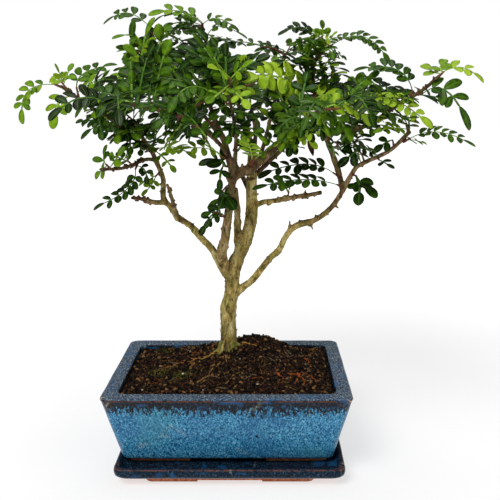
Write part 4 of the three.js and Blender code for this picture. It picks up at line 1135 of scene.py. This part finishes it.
def wood_mesh():
    shell = Shell()
    axis, warts = [], []
    for number, (name, limb) in enumerate(LIMBS.items()):
        limb_axis, limb_warts = add_limb(shell, name, limb, random.Random(40 + number))
        axis.extend(limb_axis)
        warts.extend(limb_warts)
    for route in ROOTS:
        fine = smooth_route(route, 2)
        radii = np.linspace(ROOT_RADIUS, ROOT_TIP_RADIUS, len(fine))
        tube(shell, fine, radii, ROOT_SIDES)
        axis.extend(np.column_stack([fine, radii, np.linspace(*OLIVE["roots"], len(fine))]))
    for thorn in THORNS:
        start, end, radius = thorn[:3], thorn[3:6], thorn[6]
        fine = smooth_route((start, end), 1.5)
        tube(shell, fine, np.linspace(radius * 1.3, radius * 0.55, len(fine)), THORN_SIDES)
        warts.append(np.array(end))
    helper = linked("melting_wood", mesh_of("tree_wood_fine", shell))
    melt = helper.modifiers.new("melt", "REMESH")
    melt.mode = "VOXEL"
    melt.voxel_size = VOXEL * MILLIMETRE
    melted = modified(helper)
    bpy.data.objects.remove(helper)
    roughen_bark(melted, np.array(axis), warts)
    return melted


def roughen_bark(mesh, axis, warts):
    """Moves the bark in and out by noise drawn out along each limb, and tints it by its age and for the
    painted shade in its hollows.
    """
    tree, wart_tree = nearest_among(axis[:, :3]), nearest_among(warts)
    directions = units(np.gradient(axis[:, :3], axis=0))
    count = len(mesh.vertices)
    places = np.empty(count * 3)
    mesh.vertices.foreach_get("co", places)
    places = (places.reshape(-1, 3) - ORIGIN) / MILLIMETRE
    normals = np.array([vertex.normal[:] for vertex in mesh.vertices])
    moved = np.empty_like(places)
    tints = np.zeros((count, 4))
    for index, (point, normal) in enumerate(zip(places, normals)):
        _, nearest, _ = tree.find(point)
        ahead, radius, olive = directions[nearest], *axis[nearest, 3:]
        stretched = point - 0.7 * ahead * (point @ ahead)
        coarse = noise.noise(Vector(stretched * 0.22))
        fine = noise.noise(Vector(stretched * 0.75 + 31))
        bumps = max(0.0, noise.noise(Vector(point * 0.5 + 77)) - 0.25)
        knot = max(
            math.exp(-((math.dist(point, centre) / reach) ** 2)) for *centre, reach in KNOTS)
        rise = (0.28 * coarse + 0.2 * fine + 0.8 * bumps) * min(1.0, 0.3 + radius / 8)
        moved[index] = point + normal * (rise + knot * (1.4 * fine + 0.8 * coarse))
        wart = math.exp(-((wart_tree.find(point)[2] / 1.3) ** 2))
        green = float(np.clip((112 - point[2]) / 24, 0.3, 0.9))
        # The second number carries the painted shade: it is low where the noise pushes the bark in
        tints[index] = (olive, 0.5 + coarse * 0.5 + fine * 0.4, green, max(knot * 0.7, wart))
    mesh.vertices.foreach_set("co", metres(moved).ravel())
    add_tint(mesh, tints)
    shade_smooth(mesh)
    mesh.update()


place("bark_and_limbs", wood_mesh(), (bark,), "bark", ("tree_wood",))


# Pot and saucer
CORNER_STEPS = 8


def rounded_rectangle(width, depth, corner, height, centre=(0, 0), spacing=5):
    """A ring of points at one height, counter-clockwise, with even steps along the sides."""
    ring = []
    corners = ((1, -1, -90), (1, 1, 0), (-1, 1, 90), (-1, -1, 180))
    reach_x, reach_y = width / 2 - corner, depth / 2 - corner
    for (sign_x, sign_y, start), (next_x, next_y, _) in zip(corners, corners[1:] + corners[:1]):
        for step in range(CORNER_STEPS + 1):
            angle = math.radians(start + 90 * step / CORNER_STEPS)
            x, y = sign_x * reach_x, sign_y * reach_y
            ring.append((x + corner * math.cos(angle), y + corner * math.sin(angle)))
        gap = abs(next_x - sign_x) * reach_x + abs(next_y - sign_y) * reach_y
        count = round((POT_WIDTH if next_y == sign_y else POT_DEPTH) / spacing)
        angle = math.radians(start + 90)
        ahead = np.array([-math.sin(angle), math.cos(angle)])
        first = np.array(ring[-1])
        for step in range(1, count):
            ring.append(tuple(first + ahead * gap * step / count))
    return [(x + centre[0], y + centre[1], height) for x, y in ring]


def uneven(rings, amount, seed):
    """Rings with the slight waves of thrown and glazed ware."""
    noise.seed_set(seed)
    rings = np.array(rings, float)
    for point in rings.reshape(-1, 3):
        wave = noise.noise_vector(Vector(point * 0.045 + seed)) * amount
        point += (wave.x, wave.y, wave.z * 0.5)
    return rings


def solid_from(name, rings):
    shell = Shell()
    skin(shell, rings)
    return linked(name, mesh_of(name, shell))


def joined(base, others):
    """The mesh of base with each other solid joined to it or cut from it."""
    for operation, other in others:
        step = base.modifiers.new(operation, "BOOLEAN")
        step.operation = operation
        step.solver = "EXACT"
        step.object = other
    mesh = modified(base)
    for obj in (base, *(other for _, other in others)):
        bpy.data.objects.remove(obj)
    return mesh


def block(width, depth, low, high, x, y, corner):
    rings = [rounded_rectangle(width, depth, corner, z, (x, y), 40) for z in (low, high)]
    return solid_from("block", rings)


def round_bar(radius, low, high, x, y):
    angle = circle(32)
    across, deep = x + radius * np.cos(angle), y + radius * np.sin(angle)
    rings = [np.column_stack([across, deep, np.full(32, z)]) for z in (low, high)]
    return solid_from("round_bar", rings)


# The pot's profile: insets with heights over its base, and insets with depths below its rim
BASE_PROFILE = ((3.4, 0), (1.9, 0.15), (0.8, 0.9), (0.2, 1.9), (0, 3))
RIM_PROFILE = ((0.35, 3), (0.05, 2.2), (0, 1.5), (0.25, 0.7), (0.9, 0.2), (2, 0.02), (4, 0.1),
               (6.5, 0.16), (9, 0.1), (10.8, 0.12), (11.9, 0.5), (12.4, 1.2))
WALL_RINGS, CAVITY_RINGS = 20, 9
# How far the wall's last ring stands in from the rim, and the heights that are left to the profiles
WALL_INSET, WALL_LOW, WALL_HIGH, CAVITY_HIGH = 0.7, 3, 3.6, 1.4
FOOT_OVERLAP, DRAIN_OVERLAP = 1.2, 5


def pot_mesh():
    rings = []

    def add_ring(width, depth, inset, z):
        width, depth = width - 2 * inset, depth - 2 * inset
        rings.append(rounded_rectangle(width, depth, POT_CORNER, z))

    for inset, rise in BASE_PROFILE:
        add_ring(POT_BASE_WIDTH, POT_BASE_DEPTH, inset, POT_BODY_BASE + rise)
    for share in np.linspace(0.05, 1, WALL_RINGS):
        width = POT_BASE_WIDTH + (POT_WIDTH - 2 * WALL_INSET - POT_BASE_WIDTH) * share
        depth = POT_BASE_DEPTH + (POT_DEPTH - 2 * WALL_INSET - POT_BASE_DEPTH) * share
        height = POT_TOP - WALL_HIGH - POT_BODY_BASE - WALL_LOW
        add_ring(width, depth, 0, POT_BODY_BASE + WALL_LOW + height * share)
    for inset, drop in RIM_PROFILE:
        add_ring(POT_WIDTH, POT_DEPTH, inset, POT_TOP - drop)
    for share in np.linspace(0.04, 1, CAVITY_RINGS):
        z = POT_TOP - CAVITY_HIGH - (POT_TOP - CAVITY_HIGH - CAVITY_FLOOR) * share
        add_ring(POT_WIDTH, POT_DEPTH, RIM_WIDTH + (CAVITY_INSET - RIM_WIDTH) * share, z)
    body = solid_from("pot_body", uneven(rings, 0.35, 5))
    steps = []
    for sign_x in (-1, 1):
        steps += [("UNION", corner_foot(sign_x, sign_y)) for sign_y in (-1, 1)]
        low, high = POT_BODY_BASE - DRAIN_OVERLAP, CAVITY_FLOOR + DRAIN_OVERLAP
        steps.append(("DIFFERENCE", round_bar(DRAIN_RADIUS, low, high, sign_x * DRAIN_OFFSET, 0)))
    return joined(body, steps)


def corner_foot(sign_x, sign_y):
    """A clay foot under one corner, L-shaped, with slanted ends."""
    side_x, side_y, thickness, arm_x, arm_y = POT_BASE_WIDTH / 2 - 5, POT_BASE_DEPTH / 2 - 5, 11, 31, 23
    rings = []
    for z, shrink in (
        (POT_FOOT_BASE, 1), (POT_FOOT_BASE + 0.6, 0.3), (POT_BODY_BASE - 0.6, -0.3),
        (POT_BODY_BASE + FOOT_OVERLAP, -1.2),
    ):
        outer_x, outer_y = side_x - shrink, side_y - shrink
        inner_x, inner_y = side_x - thickness + shrink, side_y - thickness + shrink
        end_x, end_y = arm_x + shrink * 1.5, arm_y + shrink * 1.5
        outline = [
            (outer_x - 5, outer_y), (end_x, outer_y), (end_x, inner_y), (inner_x, inner_y),
            (inner_x, end_y), (outer_x, end_y), (outer_x, outer_y - 5),
            (outer_x - 1.5, outer_y - 1.5),
        ]
        ring = [(sign_x * x, sign_y * y, z) for x, y in outline]
        rings.append(ring if sign_x * sign_y > 0 else ring[::-1])
    return solid_from("foot", rings)


# The saucer's profile from its underside round the rim to its floor: insets and heights
SAUCER_PROFILE = ((7.5, 4.6), (5.4, 4.8), (3.2, 6.1), (1.4, 7.5), (0.5, 8.6), (0.15, 10), (0, 11.6),
                  (0.05, 13), (0.35, 14.2), (0.9, 14.8), (1.8, 15), (2.8, 14.85), (3.6, 14.3),
                  (4.2, 13.4), (5.4, 11.4), (6.8, 9.9), (8.6, 9.2))
SAUCER_CORNER, FOOT_RING, FOOT_GAP = 8, 24, 52


def saucer_mesh():
    rings = []
    for inset, z in SAUCER_PROFILE:
        width, depth = SAUCER_WIDTH - 2 * inset, SAUCER_DEPTH - 2 * inset
        rings.append(rounded_rectangle(width, depth, SAUCER_CORNER, z, SAUCER_CENTRE))
    tray = solid_from("tray", uneven(rings, 0.25, 9))
    width, depth = SAUCER_WIDTH - 49, SAUCER_DEPTH - 19
    hollow_width, hollow_depth = width - FOOT_RING, depth - FOOT_RING
    return joined(tray, [
        ("UNION", block(width, depth, 0, 5.6, *SAUCER_CENTRE, 6)),
        ("DIFFERENCE", block(hollow_width, hollow_depth, -2, 4.6, *SAUCER_CENTRE, 2)),
        ("DIFFERENCE", block(FOOT_GAP, SAUCER_DEPTH + 20, -2, 1.2, *SAUCER_CENTRE, 0.4)),
    ])


def place_ware(name, mesh, paint, slot, replaced):
    """A glazed piece, shaded smooth, but with its sharper edges kept."""
    shade_smooth(mesh)
    mesh.set_sharp_from_angle(angle=math.radians(40))
    place(name, mesh, (paint,), slot, (replaced,))


place_ware("glazed_pot", pot_mesh(), pot_glaze, "pot_glaze", "pot")
place_ware("glazed_saucer", saucer_mesh(), saucer_glaze, "saucer_glaze", "saucer")
for name in ("drainage_screen_left", "drainage_screen_right"):
    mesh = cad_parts[name].data
    mesh.materials.clear()
    mesh.materials.append(screen)


# Soil, with crumbs, fibres, roots and moss
def soil_surface(x, y):
    """The height of the crumbly surface."""
    mounds = sum(
        height * math.exp(-(math.hypot(x - at_x, y - at_y) / spread) ** 2)
        for at_x, at_y, height, spread in SOIL_MOUNDS)
    place_in = Vector((x, y, 0))
    rough = noise.fractal(place_in * 0.14, 0.9, 2.1, 4) * 1.2
    pits = noise.noise(place_in * 0.6 + Vector((9, 0, 0))) * 0.9
    return SOIL_EDGE + mounds + rough + pits


SOIL_HALF_X, SOIL_HALF_Y = POT_WIDTH / 2 - RIM_WIDTH - 1.1, POT_DEPTH / 2 - RIM_WIDTH - 1.1
MOSS_PATCHES = ((-60, -7, 9), (-42, -20, 8), (-61, 49, 9), (-10, 30, 8), (-12, 8, 5))


def mossy(x, y):
    """How green the soil is."""
    near = max(
        math.exp(-((x - moss_x) ** 2 + (y - moss_y) ** 2) / reach**2)
        for moss_x, moss_y, reach in MOSS_PATCHES)
    return float(np.clip(near * 1.4 * (0.5 + noise.noise(Vector((x, y, 3)) * 0.2)), 0, 1))


def ground_spot(draw, margin):
    """A drawn place on the soil."""
    x = draw.uniform(-1, 1) * (SOIL_HALF_X - margin)
    return x, draw.uniform(-1, 1) * (SOIL_HALF_Y - margin)


def drawn(draw, *limits):
    """A number drawn between each pair of limits."""
    return np.array([draw.uniform(*pair) for pair in limits])


SOIL_COLUMNS, SOIL_ROWS = 150, 100
SOIL_FLOOR, SOIL_SHRINK = CAVITY_FLOOR + 1.8, (CAVITY_INSET - RIM_WIDTH) * 0.95


def soil_ground():
    """The surface as a grid, closed down to a flat floor in the pot."""
    points, tints = [], []
    for y in np.linspace(-SOIL_HALF_Y, SOIL_HALF_Y, SOIL_ROWS):
        for x in np.linspace(-SOIL_HALF_X, SOIL_HALF_X, SOIL_COLUMNS):
            points.append((x, y, soil_surface(x, y)))
            tone = 0.5 + 0.5 * noise.noise(Vector((x, y, 0)) * 0.5)
            tints.append((tone, mossy(x, y), 0, 0))
    grid = np.arange(len(points)).reshape(SOIL_ROWS, SOIL_COLUMNS)
    corners = (grid[:-1, :-1], grid[:-1, 1:], grid[1:, 1:], grid[1:, :-1])
    faces = np.stack(corners, axis=-1).reshape(-1, 4).tolist()
    sides = (grid[0], grid[1:, -1], grid[-1, -2::-1], grid[-2:0:-1, 0])
    rim = np.concatenate(sides).tolist()
    below = [*range(len(points), len(points) + len(rim))]
    narrow_x, narrow_y = 1 - SOIL_SHRINK / SOIL_HALF_X, 1 - SOIL_SHRINK / SOIL_HALF_Y
    for index in rim:
        x, y, _ = points[index]
        points.append((x * narrow_x, y * narrow_y, SOIL_FLOOR))
        tints.append((0.4, 0, 0, 0))
    for a, b, low_a, low_b in zip(rim, rim[1:] + rim[:1], below, below[1:] + below[:1]):
        faces.append([b, a, low_a, low_b])
    faces.append(below[::-1])
    shell = Shell()
    shell.add(points, faces, tints)
    return shell


GOLDEN = (1 + 5**0.5) / 2
CRUMB_CORNERS = np.array([
    (-1, GOLDEN, 0), (1, GOLDEN, 0), (-1, -GOLDEN, 0), (1, -GOLDEN, 0), (0, -1, GOLDEN),
    (0, 1, GOLDEN), (0, -1, -GOLDEN), (0, 1, -GOLDEN), (GOLDEN, 0, -1), (GOLDEN, 0, 1),
    (-GOLDEN, 0, -1), (-GOLDEN, 0, 1),
]) / 3.8
CRUMB_FACES = (
    (0, 11, 5), (0, 5, 1), (0, 1, 7), (0, 7, 10), (0, 10, 11), (1, 5, 9), (5, 11, 4), (11, 10, 2),
    (10, 7, 6), (7, 1, 8), (3, 9, 4), (3, 4, 2), (3, 2, 6), (3, 6, 8), (3, 8, 9), (4, 9, 5),
    (2, 4, 11), (6, 2, 10), (8, 6, 7), (9, 8, 1),
)
CRUMB_COUNT = 5600


def crumb_shape(draw):
    """The corners of an uneven crumb about one unit across."""
    sizes = drawn(draw, *[(0.7, 1.25)] * len(CRUMB_CORNERS))[:, None]
    return CRUMB_CORNERS * sizes * drawn(draw, (0.7, 1.2), (0.7, 1.2), (0.6, 1))


def crumbs():
    draw = random.Random(11)
    shell = Shell()
    for _ in range(CRUMB_COUNT):
        x, y = ground_spot(draw, 1)
        size = 0.8 + 2.8 * draw.random() ** 3
        turn = draw.uniform(0, math.tau)
        across, deep, high = (crumb_shape(draw) * size).T
        cosine, sine = math.cos(turn), math.sin(turn)
        corners = np.column_stack([across * cosine - deep * sine, across * sine + deep * cosine, high])
        centre = (x, y, soil_surface(x, y) + size * draw.uniform(-0.05, 0.3))
        tint = (draw.random() ** 1.6, mossy(x, y) * 0.6, 0, 0)
        shell.add(corners + centre, CRUMB_FACES, tint)
    return shell


# Roots on the surface: the radius at the start, the tone, and the route in x and y
SURFACE_ROOTS = """
0.7 0.78 -8 8, -16 5, -24 1, -30 -3, -35 -8
0.6 0.62 -14 6, -22 5, -31 5, -40 3, -48 4, -56 1, -64 -2
0.6 0.76 -6 -1, -9 -10, -14 -17, -18 -26
0.5 0.72 -4 0, -3 -9, -1 -16
0.5 0.7 -20 4, -27 6, -36 9
0.5 0.8 -26 -34, -20 -28, -15 -25
0.9 0.5 50 -19, 55 -16, 60 -12, 66 -11, 70 -18, 76 -24
0.9 0.52 61 -11, 59 -20, 56 -28
0.7 0.5 58 -14, 63 -23, 63 -31
1 0.5 41 -18, 44 -22, 46 -27
0.9 0.2 41 18, 45 13, 47 7, 46 -3, 42 -9
0.8 0.6 72 49, 80 53, 84 54
0.7 0.48 66 20, 70 12, 71 4
0.8 0.72 10 14, 18 12, 27 8
0.6 0.4 -14 24, -26 27, -38 24, -50 30
0.5 0.8 -2 -38, 2 -32, 3 -26
0.6 0.5 20 -30, 26 -27, 30 -28
"""
FIBRE_STEPS = 6
FIBRE_COUNT = 620


def surface_roots():
    shell = Shell()
    for number, row in enumerate(table_rows(SURFACE_ROOTS)):
        draw = random.Random(70 + number)
        radius, tone, route = row.split(maxsplit=2)
        radius = float(radius)
        route = [(x, y, soil_surface(x, y) + 0.25) for x, y in read_points(route)]
        fine = smooth_route(route, 1.6)
        for point in fine:
            point[:2] += drawn(draw, (-0.3, 0.3), (-0.3, 0.3))
            point[2] = soil_surface(point[0], point[1]) + radius * 0.35
        radii = np.linspace(radius, radius * 0.4, len(fine)) * drawn(draw, *[(0.85, 1.2)] * len(fine))
        tube(shell, fine, radii, 7, (float(tone), 0, 0, 0))
    draw = random.Random(12)
    for _ in range(FIBRE_COUNT):
        x, y = ground_spot(draw, 7)
        heading, length = draw.uniform(0, math.tau), draw.uniform(3, 9)
        route = []
        for _ in range(FIBRE_STEPS):
            route.append((x, y, soil_surface(x, y) + 0.3 + draw.uniform(0, 0.5)))
            heading += draw.uniform(-0.6, 0.6)
            x += math.cos(heading) * length / FIBRE_STEPS
            y += math.sin(heading) * length / FIBRE_STEPS
        radius = draw.uniform(0.12, 0.32)
        tone = draw.choice((0, 0.1, 0.2, 0.3, 0.3, 0.45, 0.75, 1))
        tube(shell, route, np.linspace(radius, radius * 0.5, FIBRE_STEPS), 4, (tone, 0, 0, 0))
    return shell


def moss():
    draw = random.Random(13)
    shell = Shell()
    for patch_x, patch_y, reach in MOSS_PATCHES:
        for _ in range(int(reach * 26)):
            x, y = draw.gauss(patch_x, reach * 0.55), draw.gauss(patch_y, reach * 0.45)
            if abs(x) > SOIL_HALF_X - 1 or abs(y) > SOIL_HALF_Y - 1:
                continue
            base = np.array((x, y, soil_surface(x, y) - 0.2))
            lean = np.append(drawn(draw, (-0.6, 0.6), (-0.6, 0.6)), 1) * draw.uniform(0.6, 1.6)
            width = draw.uniform(0.2, 0.42)
            angles = draw.uniform(0, math.tau) + np.arange(3) * math.tau / 3
            foot = [base + (width * math.cos(angle), width * math.sin(angle), 0) for angle in angles]
            faces = ((2, 1, 0), (0, 1, 3), (1, 2, 3), (2, 0, 3))
            shell.add([*foot, base + lean], faces, (draw.random(), 0, 0, 0))
    return shell


place_shell("soil_ground", soil_ground(), (soil_mix,), "potting_soil", ("soil",))
place_shell("soil_crumbs", crumbs(), (soil_mix,), "potting_soil", smooth=False)
place_shell("surface_roots", surface_roots(), (fibre,), "bark")
place_shell("moss_tufts", moss(), (moss_green,), "leaf_mid", smooth=False)


# Small things: a withered leaf, a bud on the right peak, and pale grains in the soil
def withered_leaf():
    """A curled dead leaf that hangs from a stem."""
    shell = Shell()
    rings = []
    for share in np.linspace(0, 1, 12):
        centre = np.array((65.9 + 3.3 * share, -8 - 2 * share, 269.3 - 13.5 * share))
        wide = 2.4 * math.sin(math.pi * (0.12 + 0.86 * share)) ** 0.8
        curl = 1.2 * math.sin(5 * share)
        across, deep = np.cos(circle(10)), np.sin(circle(10))
        deep = (wide * 0.4 + 0.25) * deep + curl * across**2
        rings.append(centre + np.column_stack([wide * across, deep, np.zeros(10)]))
    skin(shell, rings)
    tube(shell, ((65.4, -7.4, 273), (65.9, -8, 269)), (0.5, 0.5), 6)
    return shell


def bud():
    draw = random.Random(21)
    shell = Shell()
    for _ in range(16):
        start = (76.6, 15, 353) + drawn(draw, (-1.6, 1.6), (-1.6, 1.6), (-1, 1.5))
        ahead = unit(drawn(draw, (-1, 1), (-1, 1), (0.3, 1.5)))
        length = draw.uniform(2.4, 4.2)
        up, tone = np.array((0, -0.7, 0.7)), draw.uniform(0.6, 1.1)
        add_leaflet(shell, start, ahead, up, length, length * 0.55, tone, draw, (0, PLAIN))
    return shell


GRAINS = read_points(
    "-39.5 -19.2, -38.3 27.2, 8.7 -7.8, 55 -52, -70 -44, 24 -38, 66 6, -20 -48, 38 36")


def grains():
    draw = random.Random(22)
    shell = Shell()
    for x, y in GRAINS:
        size = draw.uniform(1.2, 2)
        centre = (x, y, soil_surface(x, y) + 0.5 * size)
        shell.add(crumb_shape(draw) * size + centre, CRUMB_FACES)
    return shell


place_shell("withered_leaf", withered_leaf(), (withered,), "bark")
place_shell("peak_bud", bud(), (leafy[LIGHT],), "leaf_light")
place_shell("soil_grains", grains(), (grain_white,), "potting_soil", smooth=False)


# Stage, lights and camera
def plain_floor():
    paint = Paint("floor", 0.9, 0.1)
    paint.feed(paint.shader.inputs["Base Color"], "a8a8a8")
    paint.feed(paint.shader.inputs["Emission Color"], "ffffff")
    far = paint.node("ShaderNodeVectorMath", {0: paint.place}, operation="LENGTH")
    glow = paint.step(far.outputs["Value"], 0.2, 1.1, 0.63, 0.95)
    paint.feed(paint.shader.inputs["Emission Strength"], glow)
    bpy.ops.mesh.primitive_circle_add(vertices=96, radius=9, fill_type="NGON", location=(0, 0, 0))
    floor = bpy.context.object
    floor.name = "floor"
    floor.data.materials.append(paint.material)


LIT_POINT = Vector((0, 0, 0.2))


def soft_light(name, power, size, place_at):
    light = bpy.data.lights.new(name, "AREA")
    light.energy, light.size, light.shape = power, size, "DISK"
    obj = linked(name, light)
    obj.location = place_at
    aim = LIT_POINT - Vector(place_at)
    obj.rotation_euler = aim.to_track_quat("-Z", "Y").to_euler()


plain_floor()
soft_light("key", 40, 1.3, (-0.9, -1.35, 2.0))
soft_light("fill", 5, 1.6, (1.7, -1.2, 0.9))
soft_light("top", 14, 1.0, (0.1, 0.3, 2.2))


def studio_world(seen, lighting):
    """A white surround that looks brighter than the light it gives."""
    world = bpy.data.worlds.new("studio")
    world.use_nodes = True
    tree = world.node_tree
    background = tree.nodes["Background"]
    background.inputs["Color"].default_value = (1, 1, 1, 1)
    path = tree.nodes.new("ShaderNodeLightPath")
    strength = tree.nodes.new("ShaderNodeMapRange")
    strength.inputs["To Min"].default_value = lighting
    strength.inputs["To Max"].default_value = seen
    tree.links.new(path.outputs["Is Camera Ray"], strength.inputs["Value"])
    tree.links.new(strength.outputs["Result"], background.inputs["Strength"])
    bpy.context.scene.world = world


studio_world(1, 0.24)
bpy.context.scene.view_settings.view_transform = "Standard"

SENSOR_WIDTH = 36
camera_data = bpy.data.cameras.new("camera")
camera_data.sensor_width = SENSOR_WIDTH
camera_data.lens = SENSOR_WIDTH * FOCAL_PIXELS / FRAME_PIXELS
camera_data.shift_x = (FRAME_PIXELS / 2 - PRINCIPAL_X) / FRAME_PIXELS
camera = linked("camera", camera_data)
camera.location = metres(CAMERA_PLACE)
camera.rotation_euler = (math.pi / 2 - CAMERA_PITCH, 0, 0)
bpy.context.scene.camera = camera

bpy.context.view_layer.update()
